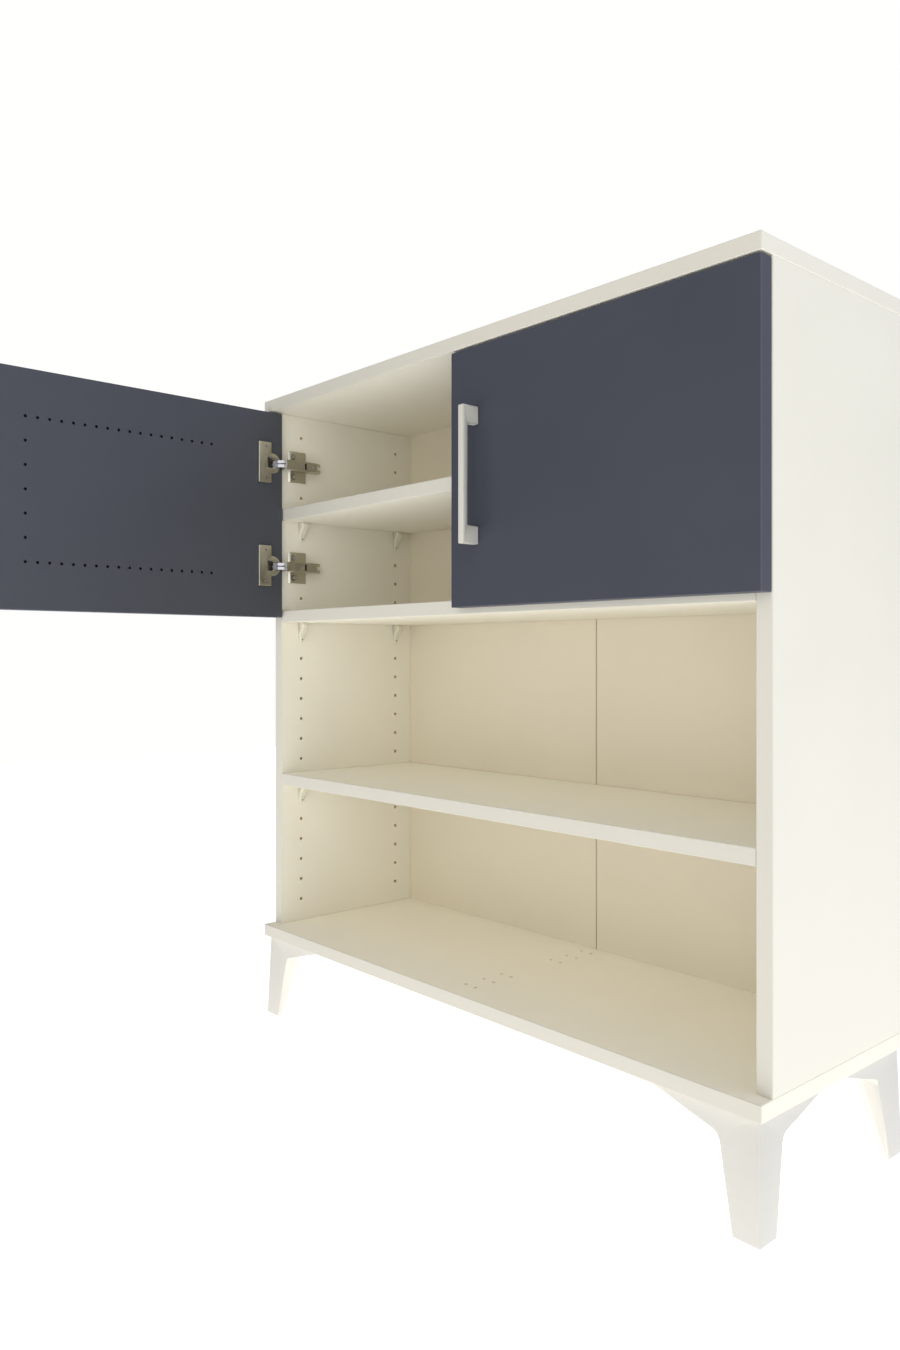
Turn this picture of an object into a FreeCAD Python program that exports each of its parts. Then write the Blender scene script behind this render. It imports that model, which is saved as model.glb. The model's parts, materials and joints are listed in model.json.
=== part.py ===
import FreeCAD, Part
import math
import os

V = FreeCAD.Vector
UP = V(0, 0, 1)

# Case: X runs right, Y back, Z up, from the floor under the middle of the boards
case_width = 880
case_depth = 300
case_height = 840
board_thickness = 18
board_overhang = 20
leg_height = 120
edge_easing = 0.8
overrun = 6
fit_gap = 0.05
arc_steps = 4

# Back panel in two leaves
back_thickness = 3
back_inset = 18
groove_depth = 8
groove_play = 0.2
leaf_gap = 0.6
tape_thickness = 0.3
tape_width = 40
tape_end_gap = 0.5

# Shelf-pin holes and shelves
pin_diameter = 5
pin_hole_depth = 11
pin_front_inset = 37
pin_rear_inset = 33
pin_first_height = 34
pin_pitch = 32
pin_sides = 6
lower_shelf_share = 0.46
middle_shelf_drop = 7.5
upper_shelf_drop = 7
shelf_side_gap = 0.5
shelf_rear_gap = 1

# Shelf supports: a moulded tongue under the shelf with a peg in the hole
support_width = 12
support_height = 31
support_peg_drop = 25
support_peg_length = 8
support_reach = 15
support_reach_drops = [0, 5, 11, 17, 21, 29]
support_reach_shares = [0.87, 1, 0.8, 0.4, 0.23, 0.2]
support_fit_gap = 0.1

# Small holes in the bottom board, in two groups
divider_hole_diameter = 5
divider_hole_depth = 9
divider_hole_spacing = 18
divider_group_insets = [36, 196]
divider_holes_per_group = 3

# Dowels and screws of the corner joints
dowel_diameter = 8
dowel_length = 30
dowel_in_board = 12
dowel_insets = [60, 210]
dowel_sides = 6
corner_screw_diameter = 5
corner_screw_length = 48
corner_screw_head_diameter = 9
corner_screw_head_height = 4
corner_screw_insets = [135]
plug_diameter = 10
plug_height = 2
screw_sides = 6

# Moulded corner legs
leg_inset = 7.5
leg_foot_inset = 3.5
leg_foot_width = 30
leg_foot_wall = 4
leg_wing_reach = 135
leg_wing_thickness = 20
leg_wing_tip = 2.5
leg_flare_drop = 27
leg_flare_reach = 52
leg_throat_radius = 9
leg_screw_reaches = [90]
leg_screw_diameter = 4
leg_screw_head_diameter = 8
leg_screw_head_height = 2.4
leg_screw_bite = 9
leg_screw_seat = 4

# Doors, built closed in the hinge frame of the left side
door_width = 438
door_height = 319
door_thickness = 18
door_top_gap = 2.5
door_standoff = 1.5
left_door_opening = 90
right_door_opening = 0
door_easing = 0.8

# Blind pilot holes on the doors' inner faces
pilot_diameter = 4
pilot_depth = 6
pilot_edge_inset = 43
pilot_column_pitch = 32
pilot_column_holes = 7
pilot_row_pitch = 16
pilot_row_holes = 18
pilot_sides = 6

# Bar handles
handle_length = 168
handle_width = 10
handle_reach = 26
handle_bar_thickness = 7.5
handle_post_length = 22
handle_edge_inset = 41
handle_easing = 1
handle_stud_diameter = 4
handle_stud_bite = 11

# Concealed hinges: X from the side's inner face, Y from the side's front edge
hinge_end_inset = 79.5
cup_diameter = 35
cup_depth = 13
cup_edge_wall = 6
cup_wall = 0.3
cup_rim_height = 0.6
cup_bore_gap = 0.1
cup_sides = 20
flange_edge_inset = 23.2
flange_width = 19
flange_height = 62
flange_thickness = 5
flange_easing = 1.2
pocket_length = 21
pocket_depth = 12.1
pocket_height = 12.4
mouth_height = 16
mouth_edge_reach = 29.2

# Hinge pivots, and how far each link turns for each degree of the door
arm_rear_pivot_x = 13.5
arm_rear_pivot_y = 16.5
arm_front_pivot_x = 3.7
arm_front_pivot_y = 1
cup_outer_pivot_inset = 9.4
cup_outer_pivot_depth = 2.2
cup_inner_pivot_inset = 10.9
cup_inner_pivot_depth = 7
inner_link_reach_x = 11.5
inner_link_reach_y = 10.8
outer_link_turn_share = 0.32
inner_link_turn_share = 0.32
rear_pin_diameter = 2.6
front_pin_diameter = 2
cup_outer_pin_diameter = 2.2
cup_inner_pin_diameter = 1.8
cup_outer_pin_end = 7.4
cup_inner_pin_end = 7.9
hinge_pin_sides = 6
link_cap_steps = 4

# Hinge links: places and radii along their bends, as shares of the cup's diameter
outer_link_height = 10.8
outer_link_cheek = 1.8
outer_link_bend_shares = [(0.217, 0.017), (0.131, -0.097), (-0.029, -0.154), (-0.154, -0.171)]
outer_link_radius_shares = [0.0686, 0.0486, 0.0629, 0.0629, 0.0314, 0.0571]
outer_link_web_shares = [(0.431, 0.454), (0.244, 0.007)]
outer_link_web_radius_share = 0.02
inner_link_height = 7
inner_link_bend_shares = [(0.177, -0.017), (0.22, -0.161), (0.19, -0.266), (0.106, -0.355)]
inner_link_radius_shares = [0.06, 0.0229, 0.0229, 0.02, 0.018]
inner_eye_radius = 2.07
inner_slot_radius = 1.52
inner_slot_before = 1.43
inner_slot_beyond = 0.86

# Hinge arm and cross-shaped mounting plate
arm_height = 15
arm_wall = 1
arm_seat_gap = 0.2
arm_top = 17.2
arm_rear = 66
arm_tail_start = 56
arm_tail_top = 12
arm_nose = 15
arm_eye_radius = 2.2
arm_cheek_x = 8
arm_cheek_y = 9
arm_cheek_radius = 4.2
arm_fork_height = 5
arm_fork_length = 7
arm_slot_start = 43.5
arm_slot_length = 2
arm_slot_height = 6
plate_thickness = 2.2
plate_front = 12
plate_wing_length = 32
plate_wing_height = 49
plate_tongue_length = 16
plate_rib_height = 10
plate_rib_top = 9
plate_easing = 0.6
plate_screw_y = 21
plate_screw_spacing = 32
plate_screw_diameter = 3.6
plate_screw_bite = 12
plate_screw_head_diameter = 7
plate_screw_head_height = 1.6
arm_screw_places = [29, 50]
arm_screw_diameter = 3.6
arm_screw_head_diameter = 6
arm_screw_head_height = 1.2
arm_screw_bite = 4
cup_screw_spacing = 48
cup_screw_diameter = 3.5
cup_screw_bite = 11
cup_screw_head_diameter = 6.4
cup_screw_head_height = 1

# Faces and lines that several pieces share
side_outer = case_width / 2
side_inner = side_outer - board_thickness
board_front = -case_depth / 2
board_rear = case_depth / 2
side_front = board_front + board_overhang
bottom_under = leg_height
bottom_top = bottom_under + board_thickness
top_top = leg_height + case_height
top_under = top_top - board_thickness
back_front = board_rear - back_inset
groove_front = back_front - groove_play
groove_rear = back_front + back_thickness + groove_play
groove_side = side_inner + groove_depth
groove_floor = bottom_top - groove_depth
groove_ceiling = top_under + groove_depth
pin_columns = [side_front + pin_front_inset, back_front - pin_rear_inset]
pin_rows = 1 + round((top_under - bottom_top - 2 * pin_first_height) / pin_pitch)
door_top = top_under - door_top_gap
door_bottom = door_top - door_height
door_middle = door_bottom + door_height / 2
middle_shelf_aim = door_bottom - middle_shelf_drop
shelf_aims = {
    "lower_shelf": bottom_top + lower_shelf_share * (middle_shelf_aim - bottom_top),
    "middle_shelf": middle_shelf_aim,
    "upper_shelf": door_middle - upper_shelf_drop,
}
hinge_heights = {"upper": door_top - hinge_end_inset, "lower": door_bottom + hinge_end_inset}
hinge_edge = -board_thickness
door_inner = -door_standoff
door_outer = door_inner - door_thickness
door_free_edge = hinge_edge + door_width
cup_x = hinge_edge + cup_edge_wall + cup_diameter / 2
cup_across = cup_diameter * math.cos(math.pi / cup_sides)
rear_pivot = V(arm_rear_pivot_x, arm_rear_pivot_y, 0)
front_pivot = V(arm_front_pivot_x, arm_front_pivot_y, 0)
outer_cup_pivot = V(hinge_edge + cup_outer_pivot_inset, door_inner - cup_outer_pivot_depth, 0)
inner_cup_pivot = V(hinge_edge + cup_inner_pivot_inset, door_inner - cup_inner_pivot_depth, 0)
inner_link_end = front_pivot - V(inner_link_reach_x, inner_link_reach_y, 0)


# A block between two corners
def block(x0, x1, y0, y1, z0, z1):
    return Part.makeBox(x1 - x0, y1 - y0, z1 - z0, V(x0, y0, z0))


# A block or other shape with all its edges eased
def eased(shape, size):
    return shape.makeChamfer(size, shape.Edges)


# The same for only the edges of its face that looks furthest along a direction
def eased_face(shape, direction, size):
    outer_face = max(shape.Faces, key=lambda one: one.CenterOfMass.dot(direction))
    return shape.makeChamfer(size, outer_face.Edges)


# A closed face through points
def face(points):
    return Part.Face(Part.makePolygon(points + [points[0]]))


# Points along the arc through three places, without its last one
def arc_points(start, middle, end):
    return Part.Arc(start, middle, end).toShape().discretize(arc_steps + 1)[:-1]


# A straight rod with flat sides, measured across its flats
def rod(diameter, start, run, sides):
    along = V(run).normalize()
    side_on = V(1, 0, 0) if abs(along.z) > abs(along.x) else UP
    first = along.cross(side_on).normalize()
    second = along.cross(first)
    radius = diameter / 2 / math.cos(math.pi / sides)
    points = []
    for corner in range(sides):
        angle = 2 * math.pi * (corner + 0.5) / sides
        points.append(start + first * (radius * math.cos(angle)) + second * (radius * math.sin(angle)))
    return face(points).extrude(run)


# A screw: its head lies before the seat and its shank runs past it
def screw(seat, direction, shank, bite, head, head_height):
    body = rod(shank, seat, direction * bite, screw_sides)
    cap = rod(head, seat - direction * head_height, direction * head_height, screw_sides)
    return body.fuse(cap).removeSplitter()


# The hole that a screw's shank leaves in what it passes through
def screw_hole(seat, direction, shank, bite):
    return rod(shank + 2 * fit_gap, seat, direction * (bite + fit_gap), screw_sides)


# The half circle round a bar's end, from its right side to its left side
def bar_end(centre, outwards, radius):
    points = []
    for step in range(link_cap_steps + 1):
        angle = math.pi * (step / link_cap_steps - 0.5)
        sideways = UP.cross(outwards) * (radius * math.sin(angle))
        points.append(centre + outwards * (radius * math.cos(angle)) + sideways)
    return points


# A bent bar along a row of stops, with round ends and mitred bends
def bent_bar(stops, radii, low, high):
    ways = [(after - before).normalize() for before, after in zip(stops, stops[1:])]
    left = []
    right = []
    for index in range(1, len(stops) - 1):
        middle_way = (ways[index - 1] + ways[index]).normalize()
        mitre = UP.cross(middle_way) * (radii[index] / middle_way.dot(ways[index]))
        left.append(stops[index] + mitre)
        right.insert(0, stops[index] - mitre)
    start = bar_end(stops[0], ways[0] * -1, radii[0])
    end = bar_end(stops[-1], ways[-1], radii[-1])
    outline = face(end + left[::-1] + start + right[::-1])
    outline.translate(V(0, 0, low))
    return outline.extrude(V(0, 0, high - low))


# A hinge pin along Z, its corners on its circle, so that it turns freely in its hole
def pin(centre, diameter, low, high):
    across = diameter * math.cos(math.pi / hinge_pin_sides)
    return rod(across, centre + V(0, 0, low), V(0, 0, high - low), hinge_pin_sides)


# The hole for a hinge pin, its flats clear of the pin's circle
def pin_hole(centre, diameter, low, high):
    return rod(diameter + 2 * fit_gap, centre + V(0, 0, low), V(0, 0, high - low), hinge_pin_sides)


# Places in the hinge frame, as shares of the cup's diameter
def shared_places(shares):
    return [V(x_share * cup_diameter, y_share * cup_diameter, 0) for x_share, y_share in shares]


# Turn a shape about an upright line
def turned(shape, centre, degrees):
    copy = shape.copy()
    copy.rotate(centre, UP, degrees)
    return copy


# Take a shape from the hinge frame to its side of the case
def seated(shape, side, height):
    copy = shape.copy()
    copy.translate(V(-side_inner, side_front, height))
    return copy.mirror(V(0, 0, 0), V(1, 0, 0)) if side == "right" else copy


# How far each door stands open
def opening(side):
    return left_door_opening if side == "left" else right_door_opening


# Take an outer link, an inner link or a door's piece to where it is in the photo
def seated_outer_link(shape, side, height):
    return seated(turned(shape, rear_pivot, outer_link_turn_share * opening(side)), side, height)


def seated_inner_link(shape, side, height):
    return seated(turned(shape, front_pivot, inner_link_turn_share * opening(side)), side, height)


def seated_on_door(shape, side, height):
    arm_turn = FreeCAD.Rotation(UP, outer_link_turn_share * opening(side))
    moved_pivot = rear_pivot + arm_turn.multVec(outer_cup_pivot - rear_pivot)
    swung = turned(shape, outer_cup_pivot, -opening(side))
    swung.translate(moved_pivot - outer_cup_pivot)
    return seated(swung, side, height)


# Write one node
def save(name, shapes):
    solids = []
    for shape in shapes:
        solids += shape.Solids
    whole = solids[0] if len(solids) == 1 else Part.makeCompound(solids)
    whole.exportStep("parts/" + name + ".step")
    print(name, len(solids), round(whole.Volume))


# Dowels, corner screws and plugs, at the top and bottom end of each side
def corner_places(insets):
    places = []
    for across in (-side_inner - board_thickness / 2, side_inner + board_thickness / 2):
        for inset in insets:
            places.append((across, side_front + inset))
    return places


def corner_dowels(gap):
    dowels = []
    for x, y in corner_places(dowel_insets):
        low = bottom_top - dowel_in_board - gap
        high = top_under + dowel_in_board + gap
        run = dowel_length + 2 * gap
        dowels.append(rod(dowel_diameter + 2 * gap, V(x, y, low), V(0, 0, run), dowel_sides))
        dowels.append(rod(dowel_diameter + 2 * gap, V(x, y, high), V(0, 0, -run), dowel_sides))
    return dowels


def corner_screw_seats():
    drop = plug_height + corner_screw_head_height
    seats = []
    for x, y in corner_places(corner_screw_insets):
        seats.append((V(x, y, top_top - drop), -UP))
        seats.append((V(x, y, bottom_under + drop), UP))
    return seats


def corner_screws():
    screws = []
    for seat, direction in corner_screw_seats():
        screws.append(screw(seat, direction, corner_screw_diameter, corner_screw_length,
                            corner_screw_head_diameter, corner_screw_head_height))
    return screws


def corner_screw_cuts():
    cuts = []
    for seat, direction in corner_screw_seats():
        cuts.append(screw_hole(seat, direction, corner_screw_diameter, corner_screw_length))
        out = corner_screw_head_height + plug_height + overrun
        cuts.append(rod(plug_diameter, seat, direction * -out, screw_sides))
    return cuts


def screw_plugs():
    plugs = []
    for seat, direction in corner_screw_seats():
        if direction.z < 0:
            start = seat - direction * corner_screw_head_height
            across = plug_diameter - 2 * fit_gap
            plugs.append(rod(across, start, direction * -plug_height, screw_sides))
    return plugs


# Legs: one corner leg in its own frame, X and Y inwards from the board's corner, Z down
def leg_post():
    top = V(leg_inset, leg_inset, 0)
    foot = leg_foot_inset
    foot_far = leg_foot_inset + leg_foot_width
    foot_near = leg_foot_inset + leg_foot_wall
    flare_x = V(leg_flare_reach, leg_inset, leg_flare_drop)
    flare_y = V(leg_inset, leg_flare_reach, leg_flare_drop)
    wing_inner = leg_inset + leg_wing_thickness
    inner_x = V(leg_flare_reach, wing_inner, leg_flare_drop)
    inner_y = V(wing_inner, leg_flare_reach, leg_flare_drop)
    toe = V(foot, foot, leg_height)
    toe_x = V(foot_far, foot, leg_height)
    toe_y = V(foot, foot_far, leg_height)
    heel_x = V(foot_far, foot_near, leg_height)
    heel_y = V(foot_near, foot_far, leg_height)
    outlines = [
        [top, flare_x, toe_x], [top, toe_x, toe], [top, toe, toe_y], [top, toe_y, flare_y],
        [flare_x, inner_x, heel_x], [flare_x, heel_x, toe_x],
        [flare_y, toe_y, heel_y], [flare_y, heel_y, inner_y],
        [inner_x, inner_y, heel_y], [inner_x, heel_y, heel_x],
        [top, inner_x, flare_x], [top, flare_y, inner_y], [top, inner_y, inner_x],
        [toe, toe_x, heel_x, heel_y, toe_y],
    ]
    shell = Part.Shell([face(outline) for outline in outlines])
    solid = Part.Solid(shell)
    if solid.Volume < 0:
        solid.reverse()
    return solid


# A wing: flat on top, rising from the post to a thin tip, with a round throat
def leg_wing():
    slope = math.atan2(leg_flare_drop - leg_wing_tip, leg_wing_reach - leg_flare_reach)
    setback = leg_throat_radius * math.tan((math.pi / 2 - slope) / 2)
    knee = V(leg_flare_reach, 0, leg_flare_drop)
    on_slope = knee + V(math.cos(slope), 0, -math.sin(slope)) * setback
    on_post = knee + V(0, 0, setback)
    centre = on_post + V(leg_throat_radius, 0, 0)
    to_middle = (knee - centre).normalize() * leg_throat_radius
    root = V(leg_inset, 0, 0)
    tip = [V(leg_wing_reach, 0, 0), V(leg_wing_reach, 0, leg_wing_tip)]
    outline = face([root] + tip + arc_points(on_slope, centre + to_middle, on_post) + [on_post])
    outline.translate(V(0, leg_inset, 0))
    return outline.extrude(V(0, leg_wing_thickness, 0))


# The leg's screw seats, on the middle line of each wing
def leg_screw_seats():
    middle = leg_inset + leg_wing_thickness / 2
    seats = []
    for reach in leg_screw_reaches:
        seats.append(V(reach, middle, leg_screw_seat))
        seats.append(V(middle, reach, leg_screw_seat))
    return seats


def leg_body():
    wing = leg_wing()
    other_wing = wing.mirror(V(0, 0, 0), V(1, -1, 0))
    wing_inner = leg_inset + leg_wing_thickness
    corner = face([V(leg_inset, leg_inset, 0), V(leg_flare_reach, leg_inset, 0),
                   V(leg_flare_reach, wing_inner, 0), V(wing_inner, leg_flare_reach, 0),
                   V(leg_inset, leg_flare_reach, 0)])
    corner = corner.extrude(V(0, 0, leg_flare_drop))
    body = corner.fuse([leg_post(), wing, other_wing]).removeSplitter()
    cuts = []
    for seat in leg_screw_seats():
        run = V(0, 0, -leg_screw_seat - overrun)
        cuts.append(rod(leg_screw_diameter + 2 * fit_gap, seat, run, screw_sides))
        well = leg_screw_head_diameter + 2 * fit_gap
        cuts.append(rod(well, seat, V(0, 0, leg_height), screw_sides))
    return body.cut(cuts)


def leg_screws_of_one():
    screws = []
    for seat in leg_screw_seats():
        bite = leg_screw_seat + leg_screw_bite
        screws.append(screw(seat, -UP, leg_screw_diameter, bite,
                            leg_screw_head_diameter, leg_screw_head_height))
    return screws


def leg_screw_cuts_of_one():
    cuts = []
    for seat in leg_screw_seats():
        bite = leg_screw_seat + leg_screw_bite
        cuts.append(screw_hole(seat, -UP, leg_screw_diameter, bite))
    return cuts


# Take a shape from the leg's frame to one corner of the case
def at_corner(shape, front, side):
    copy = shape.copy()
    copy.translate(V(-side_outer, board_front, -bottom_under))
    copy = copy.mirror(V(0, 0, 0), UP)
    if side == "right":
        copy = copy.mirror(V(0, 0, 0), V(1, 0, 0))
    if front == "back":
        copy = copy.mirror(V(0, 0, 0), V(0, 1, 0))
    return copy


CORNERS = [(front, side) for front in ("front", "back") for side in ("left", "right")]


# Boards
def back_groove():
    return block(-groove_side, groove_side, groove_front, groove_rear, groove_floor, groove_ceiling)


def board(low):
    body = block(-side_outer, side_outer, board_front, board_rear, low, low + board_thickness)
    return eased(body, edge_easing)


def divider_holes():
    holes = []
    for column in (-divider_hole_spacing / 2, divider_hole_spacing / 2):
        for inset in divider_group_insets:
            for row in range(divider_holes_per_group):
                start = V(column, board_front + inset + row * pin_pitch, bottom_top + overrun)
                run = V(0, 0, -divider_hole_depth - overrun)
                holes.append(rod(divider_hole_diameter, start, run, pin_sides))
    return holes


def top_board():
    return board(top_under).cut([back_groove()] + corner_dowels(fit_gap) + corner_screw_cuts())


def bottom_board():
    cuts = [back_groove()] + corner_dowels(fit_gap) + corner_screw_cuts() + divider_holes()
    for front, side in CORNERS:
        cuts += [at_corner(cut, front, side) for cut in leg_screw_cuts_of_one()]
    return board(bottom_under).cut(cuts)


def pin_holes():
    holes = []
    for column in pin_columns:
        for row in range(pin_rows):
            start = V(-side_inner + overrun, column, bottom_top + pin_first_height + row * pin_pitch)
            run = V(-pin_hole_depth - overrun, 0, 0)
            holes.append(rod(pin_diameter, start, run, pin_sides))
    return holes


def side_panel(side):
    panel = block(-side_outer, -side_inner, side_front, board_rear, bottom_top, top_under)
    panel = eased(panel, edge_easing)
    cuts = [back_groove()] + corner_dowels(fit_gap) + corner_screw_cuts() + pin_holes()
    for height in hinge_heights.values():
        cuts += [seated(cut, "left", height) for cut in plate_screw_cuts()]
    panel = panel.cut(cuts)
    return panel.mirror(V(0, 0, 0), V(1, 0, 0)) if side == "right" else panel


def back_leaf(side):
    leaf = block(-groove_side + groove_play, -leaf_gap / 2, back_front, back_front + back_thickness,
                 groove_floor, groove_ceiling - groove_play)
    return leaf.mirror(V(0, 0, 0), V(1, 0, 0)) if side == "right" else leaf


def back_seam_tape():
    rear = back_front + back_thickness
    return block(-tape_width / 2, tape_width / 2, rear, rear + tape_thickness,
                 bottom_top + tape_end_gap, top_under - tape_end_gap)


# A shelf lies on the holes that bring it nearest to where it should be
def shelf_under(name):
    lowest = bottom_top + pin_first_height + support_peg_drop
    row = round((shelf_aims[name] - lowest) / pin_pitch)
    return lowest + row * pin_pitch


def shelf(name):
    half = side_inner - shelf_side_gap
    low = shelf_under(name)
    body = block(-half, half, side_front, back_front - shelf_rear_gap, low, low + board_thickness)
    return eased(body, edge_easing)


# One shelf support on the left side, from the shelf's underside down
def shelf_support():
    reach = support_reach
    places = [V(reach * share, 0, -drop) for share, drop in zip(support_reach_shares, support_reach_drops)]
    top, nose, belly, waist, neck, end = places
    tip = V(0, 0, -support_height)
    round_end = V(end.x * math.cos(math.pi / 4), 0, end.z + (tip.z - end.z) * math.sin(math.pi / 4))
    nose_side = arc_points(top, nose, belly) + arc_points(belly, waist, neck)
    outline = face([V(0, 0, 0)] + nose_side + [neck] + arc_points(end, round_end, tip) + [tip])
    outline.translate(V(0, -support_width / 2, 0))
    tongue = outline.extrude(V(0, support_width, 0))
    hole = V(0, 0, -support_peg_drop)
    peg = rod(pin_diameter - 2 * support_fit_gap, hole, V(-support_peg_length, 0, 0), pin_sides)
    return tongue.fuse(peg).removeSplitter()


def shelf_supports(name):
    supports = []
    for column in pin_columns:
        one = shelf_support()
        one.translate(V(-side_inner, column, shelf_under(name)))
        supports += [one, one.mirror(V(0, 0, 0), V(1, 0, 0))]
    return supports


# Doors and handles, closed, in the hinge frame
def pilot_holes():
    places = []
    column = door_free_edge - pilot_edge_inset
    half_column = (pilot_column_holes - 1) / 2
    for row in range(pilot_column_holes):
        places.append((column, door_middle + (row - half_column) * pilot_column_pitch))
    for end in (-half_column, half_column):
        for step in range(1, pilot_row_holes):
            places.append((column - step * pilot_row_pitch, door_middle + end * pilot_column_pitch))
    holes = []
    for x, z in places:
        start = V(x, door_inner + overrun, z)
        holes.append(rod(pilot_diameter, start, V(0, -pilot_depth - overrun, 0), pilot_sides))
    return holes


# The studs of the handle are blind, since no screw head shows on the door's inner face
def handle_studs(gap):
    spread = (handle_length - handle_post_length) / 2
    x = door_free_edge - handle_edge_inset - handle_width / 2
    reach = handle_stud_bite + gap
    studs = []
    for height in (door_middle - spread, door_middle + spread):
        start = V(x, door_outer + reach, height)
        studs.append(rod(handle_stud_diameter + 2 * gap, start, V(0, -2 * reach, 0), screw_sides))
    return studs


def door_panel():
    panel = block(hinge_edge, door_free_edge, door_outer, door_inner, door_bottom, door_top)
    panel = eased(panel, door_easing)
    cuts = pilot_holes() + handle_studs(fit_gap)
    bore = cup_across + 2 * cup_bore_gap
    for height in hinge_heights.values():
        mouth = V(cup_x, door_inner + overrun, height)
        cuts.append(rod(bore, mouth, V(0, -overrun - cup_depth - cup_bore_gap, 0), cup_sides))
        for seat in cup_screw_seats():
            seat = seat + V(0, 0, height)
            bite = flange_thickness + cup_screw_bite
            cuts.append(screw_hole(seat, V(0, -1, 0), cup_screw_diameter, bite))
    return panel.cut(cuts)


def handle():
    x1 = door_free_edge - handle_edge_inset
    x0 = x1 - handle_width
    low = door_middle - handle_length / 2
    high = door_middle + handle_length / 2
    bar = block(x0, x1, door_outer - handle_reach, door_outer, low, high)
    bar_inner = door_outer - handle_reach + handle_bar_thickness
    gap = block(x0 - overrun, x1 + overrun, bar_inner, door_outer + overrun,
                low + handle_post_length, high - handle_post_length)
    return eased(bar.cut(gap), handle_easing).cut(handle_studs(fit_gap))


# Hinge cup with its rim, raised flange and pocket for the links
def cup_screw_seats():
    x = hinge_edge + flange_edge_inset + flange_width / 2
    y = door_inner + flange_thickness
    return [V(x, y, -cup_screw_spacing / 2), V(x, y, cup_screw_spacing / 2)]


def cup():
    rim = V(cup_x, door_inner + cup_rim_height, 0)
    well = rod(cup_across, rim, V(0, -cup_depth - cup_rim_height, 0), cup_sides)
    flange_start = hinge_edge + flange_edge_inset
    flange = block(flange_start, flange_start + flange_width, door_inner, door_inner + flange_thickness,
                   -flange_height / 2, flange_height / 2)
    body = eased_face(flange, V(0, 1, 0), flange_easing).fuse(well).removeSplitter()
    pocket_start = cup_x - cup_diameter / 2 + cup_wall
    pocket = block(pocket_start, pocket_start + pocket_length, door_inner - pocket_depth, door_inner,
                   -pocket_height / 2, pocket_height / 2)
    inside = rod(cup_across - 2 * cup_wall, rim, V(0, -cup_depth - cup_rim_height, 0), cup_sides)
    mouth = block(hinge_edge, hinge_edge + mouth_edge_reach, door_inner,
                  door_inner + flange_thickness + overrun, -mouth_height / 2, mouth_height / 2)
    body = body.cut([pocket.common(inside), mouth])
    cuts = []
    for seat in cup_screw_seats():
        cuts.append(screw_hole(seat, V(0, -1, 0), cup_screw_diameter, flange_thickness + cup_screw_bite))
    outer_end = cup_outer_pin_end + fit_gap
    inner_end = cup_inner_pin_end + fit_gap
    cuts.append(pin_hole(outer_cup_pivot, cup_outer_pin_diameter, -outer_end, outer_end))
    cuts.append(pin_hole(inner_cup_pivot, cup_inner_pin_diameter, -inner_end, inner_end))
    return body.cut(cuts)


def cup_screws():
    return [screw(seat, V(0, -1, 0), cup_screw_diameter, flange_thickness + cup_screw_bite,
                  cup_screw_head_diameter, cup_screw_head_height) for seat in cup_screw_seats()]


# The outer pin is in two short halves, so that the inner link can pass between them
def cup_pins():
    inner_face = outer_link_height / 2 - outer_link_cheek - fit_gap
    return [
        pin(outer_cup_pivot, cup_outer_pin_diameter, inner_face, cup_outer_pin_end),
        pin(outer_cup_pivot, cup_outer_pin_diameter, -cup_outer_pin_end, -inner_face),
        pin(inner_cup_pivot, cup_inner_pin_diameter, -cup_inner_pin_end, cup_inner_pin_end),
    ]


def arm_pins():
    return [
        pin(rear_pivot, rear_pin_diameter, -arm_height / 2, arm_height / 2),
        pin(front_pivot, front_pin_diameter, -arm_height / 2, arm_height / 2),
    ]


# Outer link: two cheeks and a web, bent round the corner of the side
def outer_link():
    stops = [rear_pivot] + shared_places(outer_link_bend_shares) + [outer_cup_pivot]
    radii = [share * cup_diameter for share in outer_link_radius_shares]
    half = outer_link_height / 2
    cheeks = [
        bent_bar(stops, radii, -half, outer_link_cheek - half),
        bent_bar(stops, radii, half - outer_link_cheek, half),
    ]
    web_radius = outer_link_web_radius_share * cup_diameter
    web = bent_bar(shared_places(outer_link_web_shares), [web_radius, web_radius], -half, half)
    body = web.fuse(cheeks).removeSplitter()
    end = half + overrun
    return body.cut([pin_hole(rear_pivot, rear_pin_diameter, -end, end),
                     pin_hole(outer_cup_pivot, cup_outer_pin_diameter, -end, end)])


# Inner link: a hook between the cheeks, with a slot at its cup end
def inner_link():
    line = (inner_link_end - front_pivot).normalize()
    slot_start = inner_link_end - line * inner_slot_before
    slot_end = inner_link_end + line * inner_slot_beyond
    stops = [front_pivot] + shared_places(inner_link_bend_shares) + [slot_start, slot_end]
    radii = [share * cup_diameter for share in inner_link_radius_shares]
    radii += [inner_eye_radius, inner_eye_radius]
    half = inner_link_height / 2
    body = bent_bar(stops, radii, -half, half)
    end = half + overrun
    slot = bent_bar([slot_start, slot_end], [inner_slot_radius, inner_slot_radius], -end, end)
    return body.cut([slot, pin_hole(front_pivot, front_pin_diameter, -end, end)])


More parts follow.
